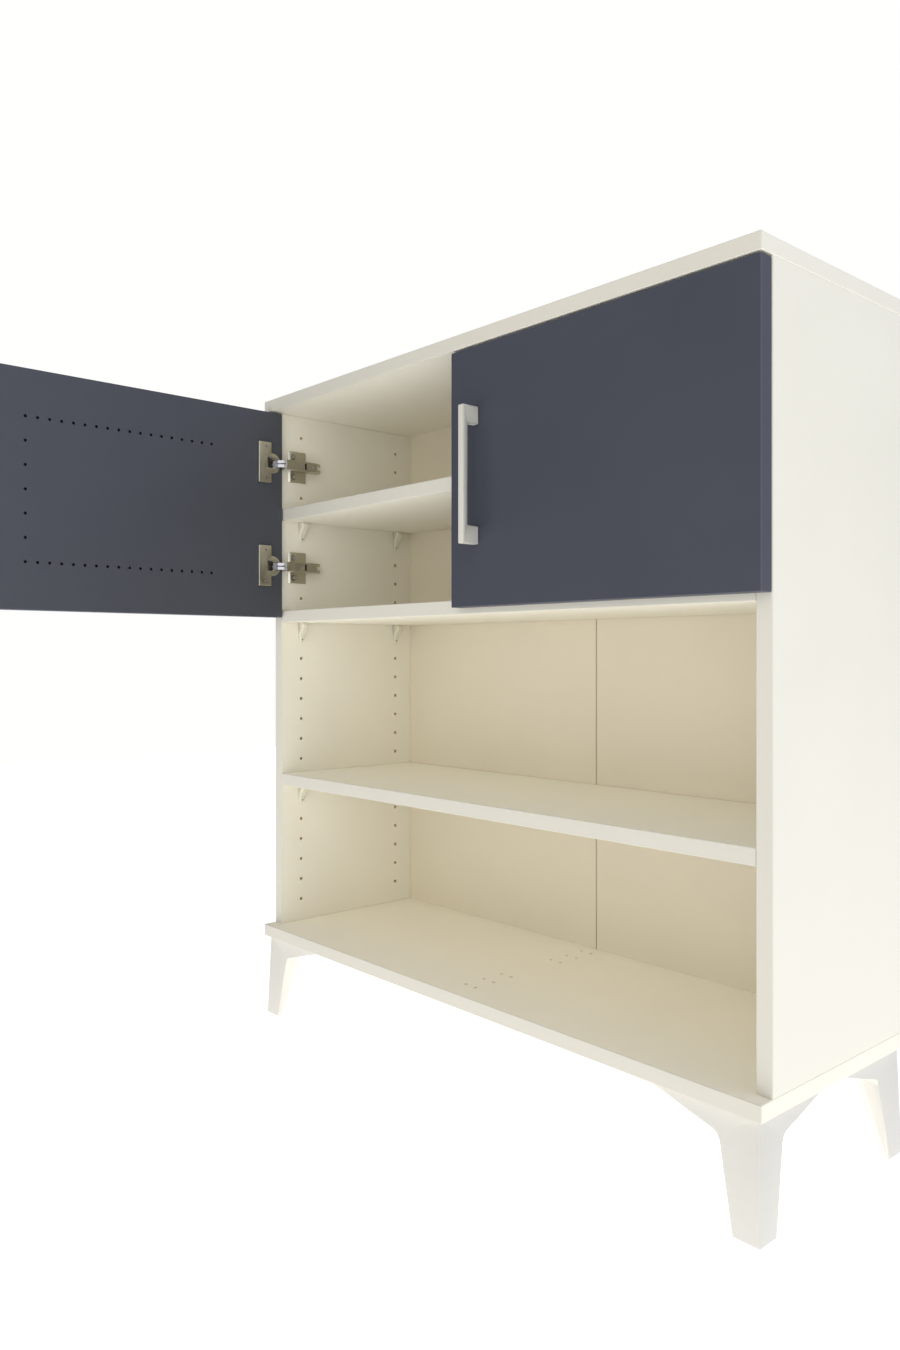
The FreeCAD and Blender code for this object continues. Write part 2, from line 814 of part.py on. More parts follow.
# Hinge arm: a channel with a forked tail, cut open at the nose for the links
def arm():
    half = arm_height / 2
    seat = plate_thickness + arm_seat_gap
    outline = [
        V(arm_cheek_x - arm_cheek_radius, arm_cheek_y, 0), V(seat, plate_front, 0), V(seat, arm_rear, 0),
        V(arm_tail_top, arm_rear, 0), V(arm_top, arm_tail_start, 0), V(arm_top, arm_nose, 0),
        V(arm_cheek_x + arm_cheek_radius, arm_cheek_y, 0),
    ]
    outline = [point - V(0, 0, half) for point in outline]
    body = face(outline).extrude(V(0, 0, arm_height))
    hollow = body.copy()
    hollow.translate(V(-arm_wall, 0, 0))
    inside = block(seat - overrun, arm_top + overrun, front_pivot.y - overrun, arm_rear + overrun,
                   arm_wall - half, half - arm_wall)
    hollow = hollow.common(inside)
    nose_stops = [front_pivot, V(arm_cheek_x, arm_cheek_y, 0)]
    nose = bent_bar(nose_stops, [arm_eye_radius, arm_cheek_radius], -half, half)
    mouth = block(seat - overrun, arm_top + overrun, front_pivot.y - overrun, arm_nose,
                  arm_wall - half, half - arm_wall)
    fork = block(seat - overrun, arm_top + overrun, arm_rear - arm_fork_length, arm_rear + overrun,
                 -arm_fork_height / 2, arm_fork_height / 2)
    slot = block(seat, arm_top + overrun, arm_slot_start, arm_slot_start + arm_slot_length,
                 -arm_slot_height / 2, arm_slot_height / 2)
    cuts = [hollow, mouth, fork, slot]
    cuts += arm_screw_cuts()
    cuts.append(pin_hole(rear_pivot, rear_pin_diameter, -arm_height, arm_height))
    cuts.append(pin_hole(front_pivot, front_pin_diameter, -arm_height, arm_height))
    return body.fuse(nose).removeSplitter().cut(cuts)


def arm_screws():
    return [screw(V(arm_top, place, 0), V(-1, 0, 0), arm_screw_diameter, arm_top - arm_screw_bite,
                  arm_screw_head_diameter, arm_screw_head_height) for place in arm_screw_places]


def arm_screw_cuts():
    return [screw_hole(V(arm_top, place, 0), V(-1, 0, 0), arm_screw_diameter, arm_top - arm_screw_bite)
            for place in arm_screw_places]


# Cross-shaped mounting plate with the rib that the arm sits over
def plate():
    wing_end = plate_front + plate_wing_length
    tongue_end = wing_end + plate_tongue_length
    wing_half = plate_wing_height / 2
    rib_half = plate_rib_height / 2
    wings = block(0, plate_thickness, plate_front, wing_end, -wing_half, wing_half)
    tongue = block(0, plate_thickness, plate_front, tongue_end, -rib_half, rib_half)
    rib = block(0, plate_rib_top, plate_front + plate_thickness, tongue_end - plate_thickness,
                -rib_half, rib_half)
    body = eased_face(wings, V(1, 0, 0), plate_easing).fuse([tongue, rib]).removeSplitter()
    return body.cut(plate_screw_cuts() + arm_screw_cuts())


def plate_screw_seats():
    return [V(plate_thickness, plate_screw_y, -plate_screw_spacing / 2),
            V(plate_thickness, plate_screw_y, plate_screw_spacing / 2)]


def plate_screws():
    return [screw(seat, V(-1, 0, 0), plate_screw_diameter, plate_thickness + plate_screw_bite,
                  plate_screw_head_diameter, plate_screw_head_height) for seat in plate_screw_seats()]


def plate_screw_cuts():
    return [screw_hole(seat, V(-1, 0, 0), plate_screw_diameter, plate_thickness + plate_screw_bite)
            for seat in plate_screw_seats()]


# Build and write every node
def build_case():
    save("top_board", [top_board()])
    save("bottom_board", [bottom_board()])
    for side in ("left", "right"):
        save(side + "_side", [side_panel(side)])
        save("back_" + side + "_leaf", [back_leaf(side)])
    save("back_seam_tape", [back_seam_tape()])
    for name in shelf_aims:
        save(name, [shelf(name)])
        save(name + "_supports", shelf_supports(name))
    save("corner_dowels", corner_dowels(0))
    save("corner_screws", corner_screws())
    save("screw_plugs", screw_plugs())


def build_legs():
    screws = []
    for front, side in CORNERS:
        save("leg_" + front + "_" + side, [at_corner(leg_body(), front, side)])
        screws += [at_corner(one, front, side) for one in leg_screws_of_one()]
    save("leg_screws", screws)


def build_door(side):
    save(side + "_door", [seated_on_door(door_panel(), side, 0)])
    save(side + "_handle", [seated_on_door(handle(), side, 0)])
    save(side + "_handle_screws", [seated_on_door(one, side, 0) for one in handle_studs(0)])


def build_hinges(side):
    groups = {"cup_screws": [], "cup_pins": [], "plate_screws": [], "arm_screws": [], "arm_pins": []}
    for level, height in hinge_heights.items():
        name = side + "_" + level + "_hinge_"
        save(name + "cup", [seated_on_door(cup(), side, height)])
        save(name + "outer_link", [seated_outer_link(outer_link(), side, height)])
        save(name + "inner_link", [seated_inner_link(inner_link(), side, height)])
        save(name + "arm", [seated(arm(), side, height)])
        save(name + "plate", [seated(plate(), side, height)])
        groups["cup_screws"] += [seated_on_door(one, side, height) for one in cup_screws()]
        groups["cup_pins"] += [seated_on_door(one, side, height) for one in cup_pins()]
        groups["plate_screws"] += [seated(one, side, height) for one in plate_screws()]
        groups["arm_screws"] += [seated(one, side, height) for one in arm_screws()]
        groups["arm_pins"] += [seated(one, side, height) for one in arm_pins()]
    for name, pieces in groups.items():
        save(side + "_" + name, pieces)


os.makedirs("parts", exist_ok=True)
build_case()
build_legs()
for side in ("left", "right"):
    build_door(side)
    build_hinges(side)
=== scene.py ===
# %% [markdown]
# This notebook dresses a free-standing cabinet: cream boards on splayed corner legs, two
# slate blue doors over the upper half, concealed hinges, bar handles and loose shelves.
# The construction arrives as a fixed frame of solids. Every finish and every softened
# edge is added here, piece by piece, and nothing of the frame is moved.

# %% Load the frame
import json
import math

import bmesh
import bpy
from mathutils import Matrix, Vector


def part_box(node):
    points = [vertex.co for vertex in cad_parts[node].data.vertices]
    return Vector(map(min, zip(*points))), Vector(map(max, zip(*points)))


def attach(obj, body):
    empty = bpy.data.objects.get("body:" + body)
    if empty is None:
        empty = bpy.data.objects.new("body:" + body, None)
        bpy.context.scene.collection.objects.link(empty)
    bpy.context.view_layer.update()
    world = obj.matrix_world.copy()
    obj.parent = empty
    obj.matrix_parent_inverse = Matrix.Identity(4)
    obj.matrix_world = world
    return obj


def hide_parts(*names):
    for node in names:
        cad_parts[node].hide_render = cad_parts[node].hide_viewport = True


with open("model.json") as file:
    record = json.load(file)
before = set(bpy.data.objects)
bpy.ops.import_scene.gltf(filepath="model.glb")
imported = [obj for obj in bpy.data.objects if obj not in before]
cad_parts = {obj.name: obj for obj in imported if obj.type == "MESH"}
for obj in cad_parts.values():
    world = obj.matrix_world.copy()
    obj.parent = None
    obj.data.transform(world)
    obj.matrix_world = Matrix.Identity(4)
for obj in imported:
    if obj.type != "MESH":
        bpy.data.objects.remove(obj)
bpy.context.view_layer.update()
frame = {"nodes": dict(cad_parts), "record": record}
nodes = frame["nodes"]
body_of_node = {}
for body_name, members in frame["record"]["behaviour"]["bodies"].items():
    for member in members:
        body_of_node[member] = body_name
slot_of_node = {part["node"]: part["material_slot"] for part in frame["record"]["subparts"]}

# %% [markdown]
# The camera comes first. The photograph looks level at the cabinet from low in front and
# to its right, with a wide lens, so upright lines stay upright and the near corner looms.
# The horizon lies a little above the middle of the picture, which is a small vertical shift.

# %% Camera at the photograph's angle
camera_place = Vector((0.9687, -1.0089, 0.560))
camera_bearing = math.radians(48.42)
camera_lens = 27.47
camera_shift = -0.0141
camera_sensor = 36.0
camera_near = 0.01
quarter_turn = math.radians(90)

camera_data = bpy.data.cameras.new("photo_camera")
camera_data.lens = camera_lens
camera_data.sensor_width = camera_sensor
camera_data.shift_y = camera_shift
camera_data.clip_start = camera_near
camera = bpy.data.objects.new("photo_camera", camera_data)
camera.location = camera_place
camera.rotation_euler = (quarter_turn, 0, camera_bearing)
bpy.context.scene.collection.objects.link(camera)
bpy.context.scene.camera = camera
print("camera at", tuple(camera.location), "lens", camera_data.lens)

# %% [markdown]
# A product picture of pale furniture is lit by big soft sources. One large panel stands to
# the front, a cooler one to the right, one hangs overhead, and a bright even world fills the
# shadows, so the only dark places are inside the compartments. A last panel beside the camera
# is seen in gloss only: it gives the bright facets of the hinges. The floor is a plain pale
# sheet.

# %% Floor, world and soft lights
floor_size = 9.0
backdrop_strength = 1.0
fill_strength = 0.35
fill_tint = (1.0, 0.998, 0.99, 1.0)
gloss_only = "glint_panel"
lights_setup = {
    "front_panel": {"place": (1.4, -3.2, 1.8), "aim": (0, 0, 0.5), "size": 2.4, "power": 32,
                    "tint": (1.0, 0.985, 0.95)},
    "side_panel": {"place": (2.9, 0.3, 2.1), "aim": (0.4, 0, 0.9), "size": 1.8, "power": 16,
                   "tint": (0.64, 0.76, 1.0)},
    "top_panel": {"place": (0.2, -0.6, 3.3), "aim": (0, 0, 0), "size": 3.0, "power": 10,
                  "tint": (1.0, 1.0, 1.0)},
    "glint_panel": {"place": (2.0, -2.2, 0.9), "aim": (-0.42, -0.14, 0.78), "size": 1.8, "power": 10,
                    "tint": (0.97, 0.98, 1.0)},
}

world = bpy.data.worlds.new("soft_studio")
world.use_nodes = True
world_tree = world.node_tree
background = world_tree.nodes["Background"]
background.inputs["Color"].default_value = fill_tint
ray_kind = world_tree.nodes.new("ShaderNodeLightPath")
strength = world_tree.nodes.new("ShaderNodeMapRange")
strength.inputs["To Min"].default_value = fill_strength
strength.inputs["To Max"].default_value = backdrop_strength
world_tree.links.new(ray_kind.outputs["Is Camera Ray"], strength.inputs["Value"])
world_tree.links.new(strength.outputs["Result"], background.inputs["Strength"])
bpy.context.scene.world = world
bpy.context.scene.view_settings.view_transform = "Standard"

for light_name, setup in lights_setup.items():
    light_data = bpy.data.lights.new(light_name, "AREA")
    light_data.shape = "SQUARE"
    light_data.size = setup["size"]
    light_data.energy = setup["power"]
    light_data.color = setup["tint"]
    light = bpy.data.objects.new(light_name, light_data)
    light.location = setup["place"]
    direction = Vector(setup["aim"]) - light.location
    light.rotation_euler = direction.to_track_quat("-Z", "Y").to_euler()
    light.visible_diffuse = light_name != gloss_only
    bpy.context.scene.collection.objects.link(light)
print("lights:", ", ".join(lights_setup))

# %% [markdown]
# Materials are node trees, and small helpers keep them readable. One adds a node and fills
# or links its inputs, and three more stand for the sums that come back again and again. One
# turns a colour as a screen shows it into the linear value that the shader wants. The rest
# start a group, a plain material, and a material that a group feeds.

# %% Node helpers
curve_start = 0.04045
curve_slope = 12.92
curve_offset = 0.055
curve_power = 2.4


def add_node(tree, kind, inputs=None, **settings):
    node = tree.nodes.new(kind)
    for key, value in settings.items():
        setattr(node, key, value)
    for key, value in (inputs or {}).items():
        if isinstance(value, bpy.types.NodeSocket):
            tree.links.new(value, node.inputs[key])
        else:
            node.inputs[key].default_value = value
    return node


def calculate(tree, operation, first, second=0.0):
    return add_node(tree, "ShaderNodeMath", {0: first, 1: second}, operation=operation).outputs[0]


def scaled(tree, vector, factor):
    node = add_node(tree, "ShaderNodeVectorMath", {0: vector, "Scale": factor}, operation="SCALE")
    return node.outputs[0]


def mixed(tree, factor, first, second):
    node = add_node(tree, "ShaderNodeMix", {0: factor, 6: first, 7: second}, data_type="RGBA")
    return node.outputs[2]


def screen_colour(red, green, blue):
    linear = []
    for channel in (red, green, blue):
        share = channel / 255
        curved = ((share + curve_offset) / (1 + curve_offset)) ** curve_power
        linear.append(share / curve_slope if share <= curve_start else curved)
    return (*linear, 1.0)


def new_group(name, inputs):
    tree = bpy.data.node_groups.new(name, "ShaderNodeTree")
    for label, kind, value in inputs:
        socket = tree.interface.new_socket(label, in_out="INPUT", socket_type="NodeSocket" + kind)
        socket.default_value = value
    for label, kind in (("Color", "Color"), ("Roughness", "Float"), ("Normal", "Vector")):
        tree.interface.new_socket(label, in_out="OUTPUT", socket_type="NodeSocket" + kind)
    return tree, tree.nodes.new("NodeGroupInput").outputs, tree.nodes.new("NodeGroupOutput")


def new_material(name, **shader_values):
    material = bpy.data.materials.new(name)
    material.use_nodes = True
    shader = material.node_tree.nodes["Principled BSDF"]
    for key, value in shader_values.items():
        shader.inputs[key.replace("_", " ")].default_value = value
    return material


def group_material(name, group_tree, values, **shader_values):
    material = new_material(name, **shader_values)
    tree = material.node_tree
    group = add_node(tree, "ShaderNodeGroup", values, node_tree=group_tree)
    shader = tree.nodes["Principled BSDF"]
    for label, socket in (("Color", "Base Color"), ("Roughness", "Roughness"), ("Normal", "Normal")):
        tree.links.new(group.outputs[label], shader.inputs[socket])
    return material


print("helpers ready")

# %% [markdown]
# Coated chipboard is what most of the cabinet is made of. Its film is nearly one colour, with
# a faint cloudiness and a fine embossed pore. Its long edges carry a separate band, glued
# on, which shows as a hairline one millimetre in from the edge. Where a hole is bored, the
# core shows. All three are one group: distances to the board's own box say which part of
# the board a point is on, so the same group serves every board.

# %% Board skin group
def distance_to_box(tree, point, low, high, bias):
    from_low = add_node(tree, "ShaderNodeVectorMath", {0: point, 1: low}, operation="SUBTRACT")
    from_high = add_node(tree, "ShaderNodeVectorMath", {0: high, 1: point}, operation="SUBTRACT")
    nearer = add_node(tree, "ShaderNodeVectorMath", {
        0: from_low.outputs[0], 1: from_high.outputs[0]}, operation="MINIMUM")
    lifted = add_node(tree, "ShaderNodeVectorMath", {0: nearer.outputs[0], 1: bias}, operation="ADD")
    split = add_node(tree, "ShaderNodeSeparateXYZ", {0: lifted.outputs[0]})
    first = calculate(tree, "MINIMUM", split.outputs[0], split.outputs[1])
    return calculate(tree, "MINIMUM", first, split.outputs[2])


millimetre = 0.001
band_thickness = 1.0 * millimetre
hairline_width = 0.12 * millimetre
hairline_strength = 0.3
core_depth = 0.9 * millimetre
pore_depth = 0.2 * millimetre
dullest_film = 0.62

board_skin, inputs, group_out = new_group(
    "board_skin",
    [("Film", "Color", (0.8, 0.8, 0.7, 1)), ("Band", "Color", (0.8, 0.8, 0.7, 1)),
     ("Core", "Color", (0.3, 0.2, 0.1, 1)), ("Low corner", "Vector", (0, 0, 0)),
     ("High corner", "Vector", (1, 1, 1)), ("Thickness bias", "Vector", (0, 0, 0)),
     ("Cloud strength", "Float", 0.03), ("Pore strength", "Float", 0.1), ("Gloss", "Float", 0.5)])
place = add_node(board_skin, "ShaderNodeTexCoord").outputs["Object"]
corners = (inputs["Low corner"], inputs["High corner"])
edge_distance = distance_to_box(board_skin, place, *corners, inputs["Thickness bias"])
skin_distance = distance_to_box(board_skin, place, *corners, (0, 0, 0))
in_band = calculate(board_skin, "LESS_THAN", edge_distance, band_thickness)
in_core = calculate(board_skin, "GREATER_THAN", skin_distance, core_depth)
past_band = calculate(board_skin, "SUBTRACT", edge_distance, band_thickness)
off_line = calculate(board_skin, "ABSOLUTE", past_band)
hairline = add_node(board_skin, "ShaderNodeMapRange", {
    "Value": off_line, "From Min": 0.0, "From Max": hairline_width,
    "To Min": hairline_strength, "To Max": 0.0})
clouds = add_node(board_skin, "ShaderNodeTexNoise", {
    "Vector": place, "Scale": 6.0, "Detail": 4.0, "Roughness": 0.6})
pores = add_node(board_skin, "ShaderNodeTexNoise", {"Vector": place, "Scale": 900.0, "Detail": 2.0})
cloud_low = calculate(board_skin, "SUBTRACT", 1.0, inputs["Cloud strength"])
cloud_value = add_node(board_skin, "ShaderNodeMapRange", {
    "Value": clouds.outputs["Fac"], "From Min": 0.3, "From Max": 0.7,
    "To Min": cloud_low, "To Max": 1.0})
film = mixed(board_skin, in_band, inputs["Film"], inputs["Band"])
clouded = scaled(board_skin, film, cloud_value.outputs[0])
lined = mixed(board_skin, hairline.outputs[0], clouded, inputs["Core"])
crumbs = add_node(board_skin, "ShaderNodeTexVoronoi", {"Vector": place, "Scale": 700.0})
crumb_value = add_node(board_skin, "ShaderNodeMapRange", {
    "Value": crumbs.outputs["Distance"], "From Max": 0.8, "To Min": 0.55, "To Max": 1.25})
core = scaled(board_skin, inputs["Core"], crumb_value.outputs[0])
surface = mixed(board_skin, in_core, lined, core)
gloss = add_node(board_skin, "ShaderNodeMapRange", {
    "Value": clouds.outputs["Fac"], "To Min": inputs["Gloss"], "To Max": dullest_film})
bump = add_node(board_skin, "ShaderNodeBump", {
    "Strength": inputs["Pore strength"], "Distance": pore_depth, "Height": pores.outputs["Fac"]})
board_skin.links.new(surface, group_out.inputs["Color"])
board_skin.links.new(gloss.outputs[0], group_out.inputs["Roughness"])
board_skin.links.new(bump.outputs[0], group_out.inputs["Normal"])
print("board skin group:", len(board_skin.nodes), "nodes")

# %% [markdown]
# Each board then gets its own material from the group, because the group needs to know the
# box that the board fills, which way its thickness lies and which way it runs. The ends of a
# cream board wear plain film. A door is banded all round. A leaf of the back has a darker
# raw edge, which draws the line of the seam.

# %% Board materials
cream_film = screen_colour(248, 244, 230)
# The bottom board's film is painted light: a paler copy of the cream film, for the brighter light on the
# floor of the lowest compartment.
painted_light_film = screen_colour(255, 250, 235)
cream_band = screen_colour(220, 216, 204)
# The core colour is painted light: far paler than raw chipboard, so that the shade inside the bored holes
# stays faint.
painted_light_core = screen_colour(240, 226, 196)
back_film = screen_colour(238, 229, 208)
back_seam = screen_colour(200, 190, 168)
# The two doors are the same paint. The left door's film is painted light: paler and warmer than the right
# door's, it stands in for the warm light that the cream interior throws on the open door.
door_films_painted_light = {"left_door": screen_colour(70, 73, 82), "right_door": screen_colour(62, 65, 78)}
blue_band = screen_colour(76, 78, 92)
blue_core = screen_colour(26, 24, 24)


def board_material(node, colours, gloss_value, cloud, pore, banded_ends=False):
    low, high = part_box(node)
    size = high - low
    axes_by_size = sorted(range(3), key=lambda axis: size[axis])
    bias = [0.0, 0.0, 0.0]
    bias[axes_by_size[0]] = 1.0
    if not banded_ends:
        bias[axes_by_size[-1]] = 1.0
    film_colour, band_colour, core_colour = colours
    return group_material(node + "_film", board_skin, {
        "Film": film_colour, "Band": band_colour, "Core": core_colour, "Low corner": low,
        "High corner": high, "Thickness bias": bias, "Cloud strength": cloud,
        "Pore strength": pore, "Gloss": gloss_value})


def paint(node, material):
    mesh = nodes[node].data
    mesh.materials.clear()
    mesh.materials.append(material)


cream_boards = ["top_board", "bottom_board", "left_side", "right_side",
                "upper_shelf", "middle_shelf", "lower_shelf"]
# Only the bottom board takes the paler film of painted light.
for node in cream_boards:
    colours = (painted_light_film if node == "bottom_board" else cream_film, cream_band, painted_light_core)
    paint(node, board_material(node, colours, gloss_value=0.42, cloud=0.025, pore=0.12))
back_leaves = ["back_left_leaf", "back_right_leaf"]
for node in back_leaves:
    colours = (back_film, back_seam, painted_light_core)
    paint(node, board_material(node, colours, gloss_value=0.5, cloud=0.03, pore=0.1))
# The left door's film carries painted light from the interior.
for node, blue_film in door_films_painted_light.items():
    colours = (blue_film, blue_band, blue_core)
    paint(node, board_material(node, colours, gloss_value=0.4, cloud=0.06, pore=0.15, banded_ends=True))
print("boards:", len(cream_boards) + len(back_leaves) + len(door_films_painted_light))

# %% [markdown]
# Metal and moulded plastic share one more effect, fine wear and haze: a slow noise for the
# haze in the gloss, and a stretched fast one for the lines that plating shows. Stretching
# the coordinates along one axis turns round grains into strokes.

# %% Surface haze group
grain_depth = 0.1 * millimetre
surface_haze, inputs, group_out = new_group(
    "surface_haze",
    [("Tint", "Color", (0.5, 0.5, 0.5, 1)), ("Stretch", "Vector", (1, 1, 1)),
     ("Grain scale", "Float", 300.0), ("Tint change", "Float", 0.1), ("Gloss low", "Float", 0.2),
     ("Gloss high", "Float", 0.4), ("Relief", "Float", 0.1)])
place = add_node(surface_haze, "ShaderNodeTexCoord").outputs["Object"]
stretched = add_node(surface_haze, "ShaderNodeVectorMath", {
    0: place, 1: inputs["Stretch"]}, operation="MULTIPLY")
grain = add_node(surface_haze, "ShaderNodeTexNoise", {
    "Vector": stretched.outputs[0], "Scale": inputs["Grain scale"], "Detail": 3.0})
haze = add_node(surface_haze, "ShaderNodeTexNoise", {"Vector": place, "Scale": 60.0, "Detail": 3.0})
both = calculate(surface_haze, "MULTIPLY", grain.outputs["Fac"], haze.outputs["Fac"])
darker = calculate(surface_haze, "SUBTRACT", 1.0, inputs["Tint change"])
tint_value = add_node(surface_haze, "ShaderNodeMapRange", {
    "Value": both, "From Min": 0.1, "From Max": 0.4, "To Min": darker, "To Max": 1.0})
tinted = scaled(surface_haze, inputs["Tint"], tint_value.outputs[0])
gloss = add_node(surface_haze, "ShaderNodeMapRange", {
    "Value": haze.outputs["Fac"], "From Min": 0.3, "From Max": 0.7,
    "To Min": inputs["Gloss low"], "To Max": inputs["Gloss high"]})
bump = add_node(surface_haze, "ShaderNodeBump", {
    "Strength": inputs["Relief"], "Distance": grain_depth, "Height": grain.outputs["Fac"]})
surface_haze.links.new(tinted, group_out.inputs["Color"])
surface_haze.links.new(gloss.outputs[0], group_out.inputs["Roughness"])
surface_haze.links.new(bump.outputs[0], group_out.inputs["Normal"])
print("surface haze group:", len(surface_haze.nodes), "nodes")

# %% [markdown]
# From that group come the plated steel of the hinges, the bright screws, the powder coat of
# the handles, and the moulded plastic of legs and shelf supports. The dowels' beech and the
# paper of the tape use it too. Each has its own values.

# %% Metal and plastic materials
no_stretch = (1, 1, 1)


def hazed_material(name, tint, stretch, scale, change, gloss_range, relief, **shader_values):
    return group_material(name, surface_haze, {
        "Tint": tint, "Stretch": stretch, "Grain scale": scale, "Tint change": change,
        "Gloss low": gloss_range[0], "Gloss high": gloss_range[1], "Relief": relief}, **shader_values)


nickel = hazed_material(
    "satin_nickel_plate", screen_colour(206, 203, 188), stretch=(1, 1, 8), scale=500, change=0.12,
    gloss_range=(0.28, 0.42), relief=0.15, Metallic=1.0)
bright_zinc = hazed_material(
    "bright_zinc", screen_colour(204, 203, 208), stretch=no_stretch, scale=700, change=0.1,
    gloss_range=(0.2, 0.34), relief=0.1, Metallic=1.0)
satin_zinc = hazed_material(
    "satin_zinc", screen_colour(206, 205, 213), stretch=no_stretch, scale=700, change=0.1,
    gloss_range=(0.36, 0.48), relief=0.1, Metallic=0.45)
powder_coat = hazed_material(
    "handle_powder_coat", screen_colour(214, 212, 202), stretch=no_stretch, scale=900, change=0.03,
    gloss_range=(0.36, 0.46), relief=0.2)
leg_plastic = hazed_material(
    "leg_moulding", screen_colour(219, 216, 209), stretch=no_stretch, scale=500, change=0.03,
    gloss_range=(0.34, 0.46), relief=0.12)
support_plastic = hazed_material(
    "support_moulding", screen_colour(236, 229, 212), stretch=no_stretch, scale=600, change=0.03,
    gloss_range=(0.3, 0.42), relief=0.1, Subsurface_Weight=0.15)
beech = hazed_material(
    "beech_dowel", screen_colour(206, 172, 128), stretch=(1, 1, 0.05), scale=400, change=0.2,
    gloss_range=(0.5, 0.7), relief=0.3)
paper = hazed_material(
    "seam_paper", screen_colour(228, 222, 206), stretch=no_stretch, scale=800, change=0.05,
    gloss_range=(0.8, 0.9), relief=0.2)

slot_materials = {"satin_nickel": nickel, "bright_steel": bright_zinc, "handle_paint": powder_coat,
                  "leg_plastic": leg_plastic, "clear_cream_plastic": support_plastic, "beech": beech,
                  "paper_tape": paper}
for node, slot_name in slot_of_node.items():
    if slot_name in slot_materials:
        paint(node, slot_materials[slot_name])
print("finishes:", ", ".join(slot_materials))

# %% [markdown]
# The frame's solids have knife-sharp corners, and nothing real has. For the pieces whose
# edges catch the light, a copy of the solid's mesh is merged, its flat parts are joined into
# whole faces, and its long edges are bevelled. Short edges, as round a screw hole, stay.

# %% Softened copies
merge_distance = 0.002 * millimetre
flat_within = math.radians(0.4)
round_profile = 0.5
soft_shading_limit = 32
flat_shading_limit = 12


def merged_copy(node):
    shape = bmesh.new()
    shape.from_mesh(nodes[node].data)
    bmesh.ops.remove_doubles(shape, verts=shape.verts, dist=merge_distance)
    bmesh.ops.dissolve_limit(shape, angle_limit=flat_within, verts=shape.verts, edges=shape.edges)
    return shape


def soften(shape, width, steps, least_length, least_angle):
    chosen = []
    for edge in shape.edges:
        if len(edge.link_faces) == 2 and edge.calc_length() > least_length:
            if edge.calc_face_angle(0) > math.radians(least_angle):
                chosen.append(edge)
    bmesh.ops.bevel(shape, geom=chosen, offset=width, segments=steps, profile=round_profile,
                    affect="EDGES", clamp_overlap=True)
    return len(chosen)


def add_piece(name, shape, material, body, replaced=(), sharp=soft_shading_limit):
    mesh = bpy.data.meshes.new(name)
    shape.to_mesh(mesh)
    shape.free()
    mesh.materials.append(material)
    mesh.shade_smooth()
    mesh.set_sharp_from_angle(angle=math.radians(sharp))
    piece = bpy.data.objects.new(name, mesh)
    bpy.context.scene.collection.objects.link(piece)
    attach(piece, body)
    if replaced:
        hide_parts(*replaced)
    return piece


leg_edge_width = 2.4 * millimetre
leg_edge_steps = 4
leg_least_edge = 14 * millimetre
leg_least_bend = 12
for node in [name for name in nodes if name.startswith("leg_") and name != "leg_screws"]:
    shape = merged_copy(node)
    count = soften(shape, leg_edge_width, leg_edge_steps, leg_least_edge, leg_least_bend)
    add_piece(node + "_moulding", shape, leg_plastic, body_of_node[node], [node])
    print(node, "edges softened:", count)

# %% [markdown]
# The bar handle is one bent C of flat bar. Softening its edges a little more than the solid
# has gives the long soft highlight that powder-coated metal shows.

# %% Handles
handle_edge_width = 1.1 * millimetre
handle_edge_steps = 3
handle_least_edge = 3 * millimetre
handle_least_bend = 20
for side in ("left", "right"):
    node = side + "_handle"
    shape = merged_copy(node)
    count = soften(shape, handle_edge_width, handle_edge_steps, handle_least_edge, handle_least_bend)
    add_piece(node + "_bar", shape, powder_coat, body_of_node[node], [node])
    print(node, "edges softened:", count)

# %% [markdown]
# The hinges need more than softened copies. Small shapes are built in millimetres in the
# hinge's own directions, joined, and only then carried to their place: `prism` raises an
# outline, `ring_points` draws an arc, `bent_outline` draws a bar along a row of stops with
# round ends, and `place_piece` joins the parts and moves their points. A mirrored place turns
# the faces inside out, so they are flipped back there.

# %% Small shape helpers
prism_least_bend = 30
full_turn = 360


def prism(outline, low, high, axis=2, edge=0.0, steps=2):
    part = bmesh.new()
    rings = []
    for level in (low, high):
        ring = []
        for first, second in outline:
            place = [first, second]
            place.insert(axis, level)
            ring.append(part.verts.new(place))
        rings.append(ring)
    part.faces.new(rings[0])
    part.faces.new(rings[1])
    for index in range(len(outline)):
        follow = (index + 1) % len(outline)
        part.faces.new((rings[0][index], rings[0][follow], rings[1][follow], rings[1][index]))
    bmesh.ops.recalc_face_normals(part, faces=part.faces)
    if edge:
        soften(part, edge, steps, 0, prism_least_bend)
    return part


def ring_points(centre, radius, first, last, count):
    points = []
    for step in range(count + 1):
        angle = math.radians(first + (last - first) * step / count)
        points.append((centre[0] + radius * math.cos(angle), centre[1] + radius * math.sin(angle)))
    return points


def circle_points(centre, radius, count):
    return ring_points(centre, radius, 0, full_turn - full_turn / count, count - 1)


def bar_rectangle(low_a, high_a, low_b, high_b):
    return [(low_a, low_b), (high_a, low_b), (high_a, high_b), (low_a, high_b)]


def bent_outline(stops, radii, cap_steps=8):
    stops = [Vector(stop) for stop in stops]
    ways = [(after - before).normalized() for before, after in zip(stops, stops[1:])]
    left = []
    right = []
    for index in range(1, len(stops) - 1):
        middle = (ways[index - 1] + ways[index]).normalized()
        across = Vector((-middle.y, middle.x)) * (radii[index] / middle.dot(ways[index]))
        left.append(tuple(stops[index] + across))
        right.append(tuple(stops[index] - across))
    start_angle = math.degrees(math.atan2(ways[0].y, ways[0].x))
    end_angle = math.degrees(math.atan2(ways[-1].y, ways[-1].x))
    start = ring_points(stops[0], radii[0], start_angle + 90, start_angle + 270, cap_steps)
    end = ring_points(stops[-1], radii[-1], end_angle - 90, end_angle + 90, cap_steps)
    return start + right + end + left[::-1]


